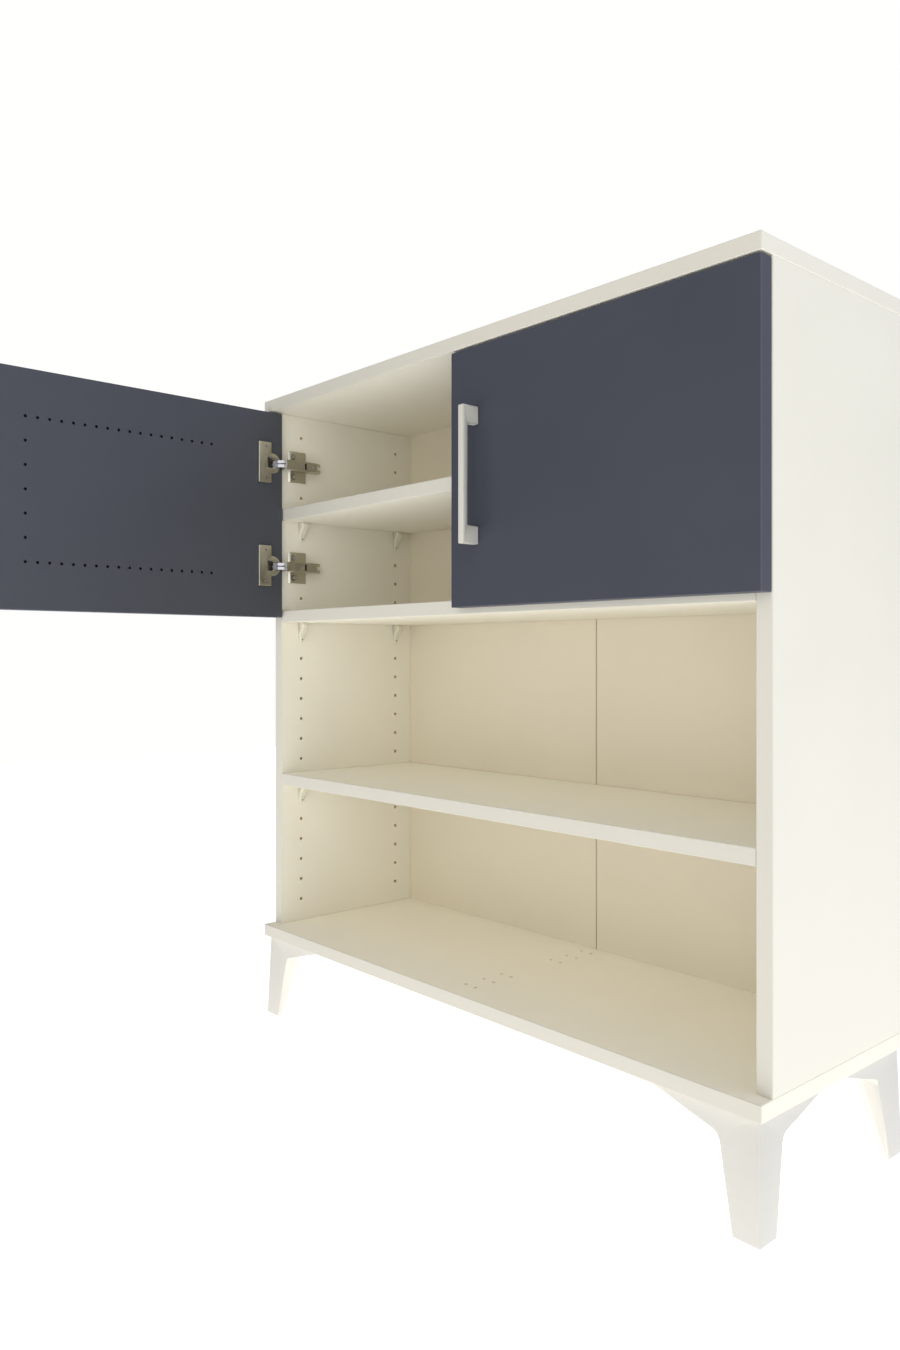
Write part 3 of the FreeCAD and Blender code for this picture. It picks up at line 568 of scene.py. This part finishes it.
def place_piece(name, parts, matrix, material, body, replaced=(), sharp=soft_shading_limit):
    shape = bmesh.new()
    for part in parts:
        carrier = bpy.data.meshes.new("carrier")
        part.to_mesh(carrier)
        part.free()
        shape.from_mesh(carrier)
        bpy.data.meshes.remove(carrier)
    shape.transform(matrix)
    if matrix.determinant() < 0:
        bmesh.ops.reverse_faces(shape, faces=shape.faces)
    return add_piece(name, shape, material, body, replaced, sharp)


print("shape helpers ready")

# %% [markdown]
# Three frames carry the hinge shapes. One starts on the side panel's inner face at its front
# edge and serves arm and plate. One is the same, turned about a pivot, for the links. One
# starts on the door's inner face at its hinge edge, for the cup: the left door stands open
# there and the right one is closed.

# %% Hinge frames
hinge_heights = {"upper": 860, "lower": 700}
rear_pivot = (13.5, 16.5)
front_pivot = (3.7, 1.0)
link_turns = {"left": 28.8, "right": 0.0}


def side_frame(side, height):
    low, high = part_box(side + "_side")
    inner_face = high.x if side == "left" else low.x
    inwards = 1 if side == "left" else -1
    scale = Matrix.Diagonal((inwards * millimetre, millimetre, millimetre, 1))
    return Matrix.Translation((inner_face, low.y, height * millimetre)) @ scale


def link_frame(side, height, pivot):
    turn = Matrix.Rotation(math.radians(link_turns[side]), 4, "Z")
    there = Matrix.Translation((pivot[0], pivot[1], 0))
    return side_frame(side, height) @ there @ turn @ there.inverted()


def door_frame(side, height):
    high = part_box(side + "_door")[1]
    if side == "left":
        axes = Matrix(((0, 1, 0, 0), (-1, 0, 0, 0), (0, 0, 1, 0), (0, 0, 0, 1)))
    else:
        axes = Matrix(((-1, 0, 0, 0), (0, 1, 0, 0), (0, 0, 1, 0), (0, 0, 0, 1)))
    scale = Matrix.Scale(millimetre, 4)
    return Matrix.Translation((high.x, high.y, height * millimetre)) @ axes @ scale


print("hinge heights", hinge_heights)

# %% [markdown]
# What shows of the cup is its flange, stamped from thick sheet with rolled edges, a round
# rim in two halves with room for the links between them, and a slanted rib beside the notch.
# All are plain outlines raised off the door, so prisms with bevelled edges are enough.

# %% Cup flange, rim and rib
flange_start = 22.4
flange_end = 44.6
flange_half = 31.4
flange_lift = 5.0
flange_edge = 0.9
flange_edge_steps = 4
mouth_half = 8.0
mouth_end = 29.2
rim_centre = 18.8
rim_radius = 15.6
rim_gap_half = 5.8
rim_foot = -0.3
rim_lift = 0.7
rim_edge = 0.2
rim_step = 17.8
rim_arc_end = 80
rim_arc_steps = 18
rib_root = 0.4
rib_lift = 0.3
rib_edge = 0.12


def cup_flange():
    outline = [(flange_start, -flange_half), (flange_end, -flange_half), (flange_end, flange_half),
               (flange_start, flange_half), (flange_start, mouth_half), (mouth_end, mouth_half),
               (mouth_end, -mouth_half), (flange_start, -mouth_half)]
    return prism(outline, 0, flange_lift, axis=1, edge=flange_edge, steps=flange_edge_steps)


def rim_half(sign):
    reach = math.degrees(math.asin(rim_gap_half / rim_radius))
    arc = ring_points((rim_centre, 0), rim_radius, sign * (180 - reach), sign * rim_arc_end, rim_arc_steps)
    step = [(flange_start, sign * mouth_half), (rim_step, sign * mouth_half), (rim_step, sign * rim_gap_half)]
    return prism(arc + step, rim_foot, rim_lift, axis=1, edge=rim_edge)


def slanted_rib():
    outline = [(34.4, 6.6), (34.0, 8.0), (29.4, 10.2), (24.2, 11.6), (23.6, 10.6), (28.8, 8.7)]
    return prism(outline, flange_lift - rib_root, flange_lift + rib_lift, axis=1, edge=rib_edge)


print("flange:", round(flange_end - flange_start, 1), "mm wide")

# %% [markdown]
# Under the flange lies the well with the links' pocket. A thin cap in the door's colour
# closes the ring between the bore and the rim. The well is a disc less its pocket, a floor
# and a thin lip, so no cut between solids is needed.

# %% Cup well and cap
bore_centre = 23.5
bore_radius = 17.75
cap_lift = 0.03
well_radius = 17.3
well_floor = 12.8
well_bottom = 13.0
well_top = -0.1
well_lip = 0.3
well_steps = 40
lip_steps = 8
disc_corners = 45
pocket_end = 27.3
pocket_half = 6.2
pocket_corners = [(pocket_end, pocket_half), (pocket_end, -pocket_half)]


def bore_cap():
    reach = math.degrees(math.asin(pocket_half / bore_radius))
    arc = ring_points((bore_centre, 0), bore_radius, reach - 180, 180 - reach, well_steps)
    return prism(arc + pocket_corners, well_top, cap_lift, axis=1)


def cup_well_parts():
    reach = math.degrees(math.asin(pocket_half / well_radius))
    centre = (bore_centre, 0)
    arc = ring_points(centre, well_radius, reach - 180, 180 - reach, well_steps)
    body = prism(arc + pocket_corners, -well_floor, well_top, axis=1)
    floor_disc = prism(circle_points(centre, well_radius, disc_corners), -well_bottom, -well_floor, axis=1)
    outer_arc = ring_points(centre, well_radius, 180 - reach, 180 + reach, lip_steps)
    inner_arc = ring_points(centre, well_radius - well_lip, 180 + reach, 180 - reach, lip_steps)
    lip = prism(outer_arc + inner_arc, -well_floor, well_top, axis=1)
    return [body, floor_disc, lip]


for side in ("left", "right"):
    door_film = nodes[side + "_door"].data.materials[0]
    for level, height in hinge_heights.items():
        node = side + "_" + level + "_hinge_cup"
        matrix = door_frame(side, height)
        body = body_of_node[node]
        place_piece(node + "_well", cup_well_parts(), matrix, nickel, body, [node])
        place_piece(node + "_flange", [cup_flange(), rim_half(1), rim_half(-1)], matrix, nickel,
                    body)
        place_piece(node + "_rib", [slanted_rib()], matrix, bright_zinc, body)
        place_piece(node + "_cap", [bore_cap()], matrix, door_film, body)
print("cups dressed")

# %% [markdown]
# The outer link is what shines beside the cup: two broad bands that bend round the corner
# of the side panel with a flat shoulder, a narrow slot between them for the inner link, and
# a hood that closes the arm's mouth while the door is open. A bar drawn along a row of stops
# follows that bend, and its half thickness can change from stop to stop.

# %% Outer links
link_half = 5.4
link_edge = 0.3
band_inner = 0.95
shoulder_inset = 0.02
outer_stops = [rear_pivot, (7.6, 0.6), (4.58, -3.4), (-1.02, -5.39), (-5.39, -5.99), (-8.6, -3.7)]
outer_radii = [2.4, 1.7, 2.2, 2.2, 1.1, 2.0]
shoulder = [(5.3, -5.35), (-3.6, -8.5), (-5.9, -7.0), (-6.5, -5.0), (-1.0, -4.0), (4.0, -2.0), (6.5, -2.5)]
hood_stops = [(15.1, 12.6), (8.35, -0.6)]
hood_radius = 0.55
hood_half = 7.45


def outer_link_parts():
    parts = []
    for low, high in ((-link_half, -band_inner), (band_inner, link_half)):
        parts.append(prism(bent_outline(outer_stops, outer_radii), low, high, edge=link_edge))
        parts.append(prism(shoulder, low + shoulder_inset, high - shoulder_inset, edge=link_edge))
    return parts


def hood_parts():
    return [prism(bent_outline(hood_stops, [hood_radius, hood_radius]), -hood_half, hood_half)]


print("outer link:", len(outer_stops), "stops")

# %% [markdown]
# The inner link is a narrow hook whose cup end is a ring with a slot, since the pin there
# slides a little as the door swings. The ring is one outline that runs round its outside and
# back round its inside. A pad on the link fills the cup's mouth.

# %% Inner links
inner_stops = [front_pivot, (6.2, -0.6), (7.7, -5.64), (6.65, -9.31), (3.71, -12.43), (-5.1, -8.4)]
inner_radii = [2.1, 0.9, 0.9, 0.85, 0.8, 0.6]
slot_stops = [(-6.76, -8.82), (-8.43, -10.39)]
slot_outer = 2.07
slot_inner = 1.5
slot_ring_inset = 0.02
slot_split = 4
slot_near_steps = 10
slot_far_steps = 6
inner_half = 0.75
hook_edge = 0.2
pad = [(13.2, -4.9), (14.5, -4.0), (12.35, 0.4), (12.15, 0.1), (12.15, -3.0)]
pad_stem = [(9.6, -4.6), (13.2, -4.8), (12.3, -0.5), (9.4, -0.5)]
pad_half = 5.3
pad_edge = 0.25


def slotted_outline():
    near, far = slot_stops
    way = math.degrees(math.atan2(far[1] - near[1], far[0] - near[0]))
    outside = ring_points(near, slot_outer, way + 90, way + 270, slot_near_steps)
    outside += ring_points(far, slot_outer, way - 90, way - slot_split, slot_far_steps)
    inside = ring_points(far, slot_inner, way - slot_split, way - 90, slot_far_steps)
    inside += ring_points(near, slot_inner, way + 270, way + 90, slot_near_steps)
    inside += ring_points(far, slot_inner, way + 90, way + slot_split, slot_far_steps)
    return outside + inside + ring_points(far, slot_outer, way + slot_split, way + 90, slot_far_steps)


def inner_link_parts():
    hook = prism(bent_outline(inner_stops, inner_radii), -inner_half, inner_half, edge=hook_edge)
    return [hook, prism(slotted_outline(), slot_ring_inset - inner_half, inner_half - slot_ring_inset)]


def pad_parts():
    return [prism(pad, -pad_half, pad_half, edge=pad_edge), prism(pad_stem, -inner_half, inner_half)]


print("inner link:", len(inner_stops), "stops")

# %% [markdown]
# Each link is placed in its own frame, turned about its pivot. The pad's outline is given as
# the left door stands, so it is carried back from there to the link's frame. Bands, hooks and
# pads stay almost flat shaded: their small facets then catch the light one by one, as bent
# sheet does.

# %% Links in place
open_door_frame = door_frame("left", 0)
open_link_frame = link_frame("left", 0, front_pivot)
for side in ("left", "right"):
    for level, height in hinge_heights.items():
        node = side + "_" + level + "_hinge_outer_link"
        matrix = link_frame(side, height, rear_pivot)
        place_piece(node + "_bands", outer_link_parts(), matrix, satin_zinc, body_of_node[node],
                    [node], sharp=flat_shading_limit)
        place_piece(node + "_hood", hood_parts(), matrix, nickel, body_of_node[node])
        node = side + "_" + level + "_hinge_inner_link"
        matrix = link_frame(side, height, front_pivot)
        place_piece(node + "_hook", inner_link_parts(), matrix, satin_zinc, body_of_node[node],
                    [node], sharp=flat_shading_limit)
        to_pad = matrix @ open_link_frame.inverted() @ open_door_frame
        place_piece(node + "_pad", pad_parts(), to_pad, satin_zinc, body_of_node[node],
                    sharp=flat_shading_limit)
print("links dressed")

# %% [markdown]
# The arm is a folded channel. Its top carries a slot over the rear half of the plate's
# wings, and its tail is a fork with rounded prongs. It is built up from two cheeks, the
# parts of the top that surround the slot, and the prongs, each of them a prism.

# %% Hinge arms
arm_half = 7.5
arm_wall = 1.0
arm_top = 17.2
arm_seat = 2.4
arm_mouth_end = 15.0
arm_end = 64.5
arm_slot = (32.6, 36.4)
arm_slot_half = 5.0
arm_slot_rim = 0.6
arm_edge = 0.25
fork_start = 55.5
fork_half = 2.8
fork_tip = 12.8
fork_thickness = 1.2
fork_edge = 0.4
fork_edge_steps = 3
plate_front = 12.0


def arm_parts():
    cheek = [(arm_seat, plate_front), (3.9, 9.6), (1.7, 1.8), (2.2, -0.5), (3.7, -1.15), (5.2, -0.6),
             (5.9, 0.9), (11.0, 8.2), (14.0, 12.4), (arm_top, 15.5), (arm_top, fork_start),
             (12.6, arm_end), (arm_seat, arm_end)]
    parts = [prism(cheek, low, high, edge=arm_edge)
             for low, high in ((-arm_half, arm_wall - arm_half), (arm_half - arm_wall, arm_half))]
    low = arm_top - arm_wall
    inner = arm_half - arm_wall
    front_top = bar_rectangle(arm_mouth_end, arm_slot[0], -inner, inner)
    parts.append(prism(front_top, low, arm_top, axis=0))
    for sign in (-1, 1):
        inner_edge, outer_edge = sorted((sign * arm_slot_half, sign * inner))
        parts.append(prism(bar_rectangle(*arm_slot, inner_edge, outer_edge), low, arm_top, axis=0))
    rear_top = bar_rectangle(arm_slot[1], fork_start, -inner, inner)
    parts.append(prism(rear_top, low, arm_top, axis=0))
    for sign in (-1, 1):
        section = [(low, fork_start), (arm_top, fork_start), (fork_tip, arm_end),
                   (fork_tip - fork_thickness, arm_end)]
        inner_edge, outer_edge = sorted((sign * fork_half, sign * arm_half))
        parts.append(prism(section, inner_edge, outer_edge, edge=fork_edge, steps=fork_edge_steps))
    return parts


print("arm ends", arm_end, "mm behind the panel's front edge")

# %% [markdown]
# The plate is a cross with a bevelled front edge and a shallow step behind its screws. One
# section drawn out sideways gives both wings, and a tongue and a ridge carry the arm.

# %% Hinge plates
plate_rear = 44.0
plate_half = 24.5
plate_thickness = 2.2
plate_step = 1.75
plate_edge = 0.12
tongue_half = 5
tongue_rear = 60
tongue_edge = 0.3
ridge_rise = 9
ridge_front = 14.2
ridge_rear = 57.8
ridge_edge = 0.5


def plate_parts():
    section = [(0, plate_front), (0.35, plate_front), (plate_thickness, 14.9), (plate_thickness, 27.0),
               (plate_step, 27.6), (plate_step, plate_rear), (0, plate_rear)]
    wings = prism(section, -plate_half, plate_half, edge=plate_edge)
    tongue = prism(bar_rectangle(0, plate_thickness, plate_front, tongue_rear),
                   -tongue_half, tongue_half, edge=tongue_edge)
    ridge = prism(bar_rectangle(0, ridge_rise, ridge_front, ridge_rear),
                  -tongue_half, tongue_half, edge=ridge_edge)
    return [wings, tongue, ridge]


print("plate:", 2 * plate_half, "mm high")

# %% [markdown]
# Arms and plates stay with the case, so the side panel's frame places them. Dark shades lie
# under the slot and round the plate's screws, where no light falls on the real hinge.

# %% Arms and plates in place
pocket_shade = new_material("pocket_shade", Base_Color=(0.012, 0.011, 0.01, 1.0), Roughness=0.7)
slot_shade = (15.6, 16.1)
seat_place = (21, 16)
seat_shade = (2.1, 2.25)
seat_radius = 4.3
seat_corners = 24

for side in ("left", "right"):
    for level, height in hinge_heights.items():
        matrix = side_frame(side, height)
        node = side + "_" + level + "_hinge_arm"
        place_piece(node + "_channel", arm_parts(), matrix, nickel, "root", [node])
        slot_reach = arm_slot_half + arm_slot_rim
        # Painted shade: a dark sheet under the arm's slot and dark discs round the plate's screws.
        slot_floor_shade = prism(bar_rectangle(arm_slot[0] - arm_slot_rim, arm_slot[1] + arm_slot_rim,
                                         -slot_reach, slot_reach), *slot_shade, axis=0)
        screw_seat_shades = [prism(circle_points((seat_place[0], sign * seat_place[1]), seat_radius, seat_corners),
                       *seat_shade, axis=0) for sign in (-1, 1)]
        place_piece(node + "_shades", [slot_floor_shade] + screw_seat_shades, matrix, pocket_shade, "root")
        node = side + "_" + level + "_hinge_plate"
        place_piece(node + "_cross", plate_parts(), matrix, nickel, "root", [node])
print("arms and plates dressed")

# %% [markdown]
# Screws and shelf supports repeat, so Geometry Nodes make them. Two helpers come first. One
# starts a tree with named inputs. The other grows a piece on a few points: it sets the
# modifier's inputs by their identifiers and keeps the result as a plain mesh.

# %% Geometry tree helpers
def new_tree(name, sockets):
    tree = bpy.data.node_groups.new(name, "GeometryNodeTree")
    for label, kind, value in sockets:
        socket = tree.interface.new_socket(label, in_out="INPUT", socket_type="NodeSocket" + kind)
        if value is not None:
            socket.default_value = value
    tree.interface.new_socket("Geometry", in_out="OUTPUT", socket_type="NodeSocketGeometry")
    return tree, tree.nodes.new("NodeGroupInput").outputs, tree.nodes.new("NodeGroupOutput")


def grow(name, tree, points, values, body, replaced):
    mesh = bpy.data.meshes.new(name + "_points")
    mesh.from_pydata(points, [], [])
    carrier = bpy.data.objects.new(name + "_carrier", mesh)
    bpy.context.scene.collection.objects.link(carrier)
    modifier = carrier.modifiers.new("grow", "NODES")
    modifier.node_group = tree
    for item in tree.interface.items_tree:
        if item.in_out == "INPUT" and item.name in values:
            modifier[item.identifier] = values[item.name]
    evaluated = carrier.evaluated_get(bpy.context.evaluated_depsgraph_get())
    grown = bpy.data.meshes.new_from_object(evaluated)
    carrier.modifiers.remove(modifier)
    bpy.data.objects.remove(carrier)
    grown.name = name
    piece = bpy.data.objects.new(name, grown)
    bpy.context.scene.collection.objects.link(piece)
    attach(piece, body)
    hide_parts(*replaced)
    return piece


print("tree helpers ready")

# %% [markdown]
# The screw tree takes one point for each screw, puts a round head with a cross recess and a
# plain shank on it, turns every screw by a random angle about its own axis, and faces them
# all the way that the input says.

# %% Screw tree
recess_length_share = 1.25
recess_width_share = 0.3
head_corners = 28
shank_corners = 12

screw_tree, given, result = new_tree("screws", [
    ("Geometry", "Geometry", None), ("Facing", "Vector", (0, 0, 1)), ("Head radius", "Float", 0.003),
    ("Head height", "Float", 0.001), ("Shank radius", "Float", 0.0016), ("Shank length", "Float", 0.012),
    ("Seed", "Int", 3), ("Finish", "Material", None)])
head = add_node(screw_tree, "GeometryNodeMeshCylinder", {
    "Vertices": head_corners, "Radius": given["Head radius"], "Depth": given["Head height"]})
head_lift = calculate(screw_tree, "MULTIPLY", given["Head height"], 0.5)
head_place = add_node(screw_tree, "ShaderNodeCombineXYZ", {2: head_lift})
head_set = add_node(screw_tree, "GeometryNodeTransform", {
    "Geometry": head.outputs["Mesh"], "Translation": head_place.outputs[0]})
recess_length = calculate(screw_tree, "MULTIPLY", given["Head radius"], recess_length_share)
recess_width = calculate(screw_tree, "MULTIPLY", given["Head radius"], recess_width_share)
recess_place = add_node(screw_tree, "ShaderNodeCombineXYZ", {2: given["Head height"]})
bars = []
for first, second in ((recess_length, recess_width), (recess_width, recess_length)):
    size = add_node(screw_tree, "ShaderNodeCombineXYZ", {0: first, 1: second, 2: given["Head height"]})
    bar = add_node(screw_tree, "GeometryNodeMeshCube", {"Size": size.outputs[0]})
    bars.append(add_node(screw_tree, "GeometryNodeTransform", {
        "Geometry": bar.outputs["Mesh"], "Translation": recess_place.outputs[0]}))
cut = screw_tree.nodes.new("GeometryNodeMeshBoolean")
cut.operation = "DIFFERENCE"
cut.solver = "EXACT"
screw_tree.links.new(head_set.outputs[0], cut.inputs["Mesh 1"])
for bar in bars:
    screw_tree.links.new(bar.outputs[0], cut.inputs["Mesh 2"])
shank = add_node(screw_tree, "GeometryNodeMeshCylinder", {
    "Vertices": shank_corners, "Radius": given["Shank radius"], "Depth": given["Shank length"]})
shank_drop = calculate(screw_tree, "MULTIPLY", given["Shank length"], -0.5)
shank_place = add_node(screw_tree, "ShaderNodeCombineXYZ", {2: shank_drop})
shank_set = add_node(screw_tree, "GeometryNodeTransform", {
    "Geometry": shank.outputs["Mesh"], "Translation": shank_place.outputs[0]})
whole = screw_tree.nodes.new("GeometryNodeJoinGeometry")
screw_tree.links.new(cut.outputs["Mesh"], whole.inputs[0])
screw_tree.links.new(shank_set.outputs[0], whole.inputs[0])
facing = add_node(screw_tree, "FunctionNodeAlignRotationToVector", {"Vector": given["Facing"]}, axis="Z")
on_points = add_node(screw_tree, "GeometryNodeInstanceOnPoints", {
    "Points": given["Geometry"], "Instance": whole.outputs[0], "Rotation": facing.outputs[0]})
random_turn = add_node(screw_tree, "FunctionNodeRandomValue", {
    "Max": (0, 0, math.pi), "Seed": given["Seed"]}, data_type="FLOAT_VECTOR")
spun = add_node(screw_tree, "GeometryNodeRotateInstances", {
    "Instances": on_points.outputs[0], "Rotation": random_turn.outputs[0]})
real = add_node(screw_tree, "GeometryNodeRealizeInstances", {"Geometry": spun.outputs[0]})
coated = add_node(screw_tree, "GeometryNodeSetMaterial", {
    "Geometry": real.outputs[0], "Material": given["Finish"]})
screw_tree.links.new(coated.outputs[0], result.inputs["Geometry"])
print("screw tree:", len(screw_tree.nodes), "nodes")

# %% [markdown]
# Three kinds of screw use the tree on each side: small ones almost flush in the cup's flange,
# pan heads on the plate, and small ones on the arm. Their points lie where the solids have
# them.

# %% Screws
screw_kinds = {
    "cup_screws": {"places": [(32.7, flange_lift, -24), (32.7, flange_lift, 24)],
                   "head": (2.2, 0.35), "shank": (1.7, 15.5)},
    "plate_screws": {"places": [(plate_thickness, 21, -16), (plate_thickness, 21, 16)],
                     "head": (3.6, 1.7), "shank": (1.75, 13.8)},
    "arm_screws": {"places": [(arm_top, 29, 0), (arm_top, 50, 0)],
                   "head": (2.7, 0.5), "shank": (1.75, 13.0)},
}
for side in ("left", "right"):
    for kind, setup in screw_kinds.items():
        on_door = kind == "cup_screws"
        points = []
        for height in hinge_heights.values():
            matrix = door_frame(side, height) if on_door else side_frame(side, height)
            points += [matrix @ Vector(place) for place in setup["places"]]
        way = Vector((0, 1, 0)) if on_door else Vector((1, 0, 0))
        values = {"Facing": (matrix.to_3x3() @ way).normalized(), "Finish": bright_zinc}
        for label, value in zip(("Head radius", "Head height"), setup["head"]):
            values[label] = value * millimetre
        for label, value in zip(("Shank radius", "Shank length"), setup["shank"]):
            values[label] = value * millimetre
        node = side + "_" + kind
        piece = grow(node + "_turned", screw_tree, points, values, body_of_node[node],
                     [node])
        print(piece.name, len(piece.data.polygons), "faces")

# %% [markdown]
# The shelf supports are twelve of one moulding: a rounded tongue that bulges under the shelf
# and runs down to a narrow round end with a small eye, a hole whose shade is painted, and a peg in the
# panel's hole.
# One template is lofted from round sections, each given by its drop, reach and half width.

# %% Support template
support_levels = [(0.0, 12.4, 5.9), (0.8, 13.4, 6.0), (3.0, 14.5, 6.0), (5.5, 14.8, 6.0), (8.0, 14.2, 6.0),
                  (11.0, 12.0, 6.0), (14.0, 9.3, 5.9), (17.0, 6.9, 5.8), (20.0, 5.2, 5.6), (23.0, 4.2, 5.2),
                  (25.5, 3.7, 4.7), (27.5, 3.3, 4.0), (29.2, 2.8, 3.0), (30.4, 2.0, 1.8), (31.0, 1.0, 0.7)]
support_half_width = 6.0
section_corner_steps = 5
section_corner = 2.2
section_corner_share = 0.8
peg_radius = 2.35
peg_length = 8
peg_corners = 20
peg_middle = (-4, -25)


def support_section(reach, half_width):
    radius = min(section_corner, reach * section_corner_share, half_width * section_corner_share)
    points = [(0.0, -half_width)]
    points += ring_points((reach - radius, radius - half_width), radius, -90, 0, section_corner_steps)
    points += ring_points((reach - radius, half_width - radius), radius, 0, 90, section_corner_steps)
    points.append((0.0, half_width))
    return points


def support_template():
    shape = bmesh.new()
    rings = []
    for drop, reach, half_width in support_levels:
        rings.append([shape.verts.new((x, y, -drop)) for x, y in support_section(reach, half_width)])
    for above, below in zip(rings, rings[1:]):
        for index in range(len(above)):
            follow = (index + 1) % len(above)
            shape.faces.new((above[index], above[follow], below[follow], below[index]))
    shape.faces.new(rings[0])
    shape.faces.new(rings[-1])
    peg = bmesh.ops.create_cone(shape, cap_ends=True, segments=peg_corners, radius1=peg_radius,
                                radius2=peg_radius, depth=peg_length)
    turn = Matrix.Rotation(quarter_turn, 4, "Y")
    there = Matrix.Translation((peg_middle[0], 0, peg_middle[1]))
    bmesh.ops.transform(shape, verts=peg["verts"], matrix=there @ turn)
    bmesh.ops.recalc_face_normals(shape, faces=shape.faces)
    shape.transform(Matrix.Scale(millimetre, 4))
    for face in shape.faces:
        face.smooth = True
    return shape


template_mesh = bpy.data.meshes.new("support_template")
template_shape = support_template()
template_shape.to_mesh(template_mesh)
template_shape.free()
template_mesh.materials.append(support_plastic)
template = bpy.data.objects.new("support_template", template_mesh)
bpy.context.scene.collection.objects.link(template)
print("support template:", len(template_mesh.polygons), "faces")

# %% [markdown]
# A small tree sets the template out on twelve points and gives those on the right a half
# turn. The eyes are painted shade: thin dark discs that stand for the shade in each small hole, placed once
# the supports stand.

# %% Shelf supports
eye_radius = 1.05
eye_corners = 24
eye_drop = 26.6
eye_reach = (3.3, 3.62)

support_tree, given, result = new_tree("supports", [
    ("Geometry", "Geometry", None), ("Support", "Object", None), ("Size", "Float", 1.0),
    ("Finish", "Material", None)])
shape_in = add_node(support_tree, "GeometryNodeObjectInfo", {"Object": given["Support"]})
where = support_tree.nodes.new("GeometryNodeInputPosition")
parts_of_place = add_node(support_tree, "ShaderNodeSeparateXYZ", {0: where.outputs[0]})
on_right = calculate(support_tree, "GREATER_THAN", parts_of_place.outputs[0], 0.0)
half_turn = calculate(support_tree, "MULTIPLY", on_right, math.pi)
turn = add_node(support_tree, "ShaderNodeCombineXYZ", {2: half_turn})
on_points = add_node(support_tree, "GeometryNodeInstanceOnPoints", {
    "Points": given["Geometry"], "Instance": shape_in.outputs["Geometry"], "Rotation": turn.outputs[0],
    "Scale": given["Size"]})
real = add_node(support_tree, "GeometryNodeRealizeInstances", {"Geometry": on_points.outputs[0]})
coated = add_node(support_tree, "GeometryNodeSetMaterial", {
    "Geometry": real.outputs[0], "Material": given["Finish"]})
support_tree.links.new(coated.outputs[0], result.inputs["Geometry"])

support_nodes = ["upper_shelf_supports", "middle_shelf_supports", "lower_shelf_supports"]
side_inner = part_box("left_side")[1].x
support_points = []
for node in support_nodes:
    low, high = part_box(node)
    for column in (low.y + support_half_width * millimetre, high.y - support_half_width * millimetre):
        support_points += [(side_inner, column, high.z), (-side_inner, column, high.z)]
supports = grow("shelf_supports_moulded", support_tree, support_points,
                {"Support": template, "Finish": support_plastic}, "root",
                support_nodes)
bpy.data.objects.remove(template)
# Each eye is a thin dark disc of painted shade in the hole's place.
eye_shades = []
for x, y, z in support_points:
    inwards = 1 if x < 0 else -1
    outline = circle_points((y / millimetre, z / millimetre - eye_drop), eye_radius, eye_corners)
    ends = [(x + inwards * reach * millimetre) / millimetre for reach in eye_reach]
    eye_shades.append(prism(outline, *ends, axis=0))
place_piece("shelf_support_eyes", eye_shades, Matrix.Scale(millimetre, 4), pocket_shade, "root")
print("supports:", len(support_points), "of", len(supports.data.polygons), "faces in all")

# %% [markdown]
# The floor closes the scene.

# %% Floor
floor_mesh = bpy.data.meshes.new("studio_floor")
half = floor_size / 2
floor_corners = [(-half, -half, 0), (half, -half, 0), (half, half, 0), (-half, half, 0)]
floor_mesh.from_pydata(floor_corners, [], [(0, 1, 2, 3)])
floor = bpy.data.objects.new("studio_floor", floor_mesh)
bpy.context.scene.collection.objects.link(floor)
floor_material = new_material(
    "floor_paper", Base_Color=(0.93, 0.93, 0.93, 1.0), Roughness=0.6,
    Emission_Color=(1.0, 1.0, 1.0, 1.0), Emission_Strength=0.87)
floor_mesh.materials.append(floor_material)
print("floor", floor_size, "m square")
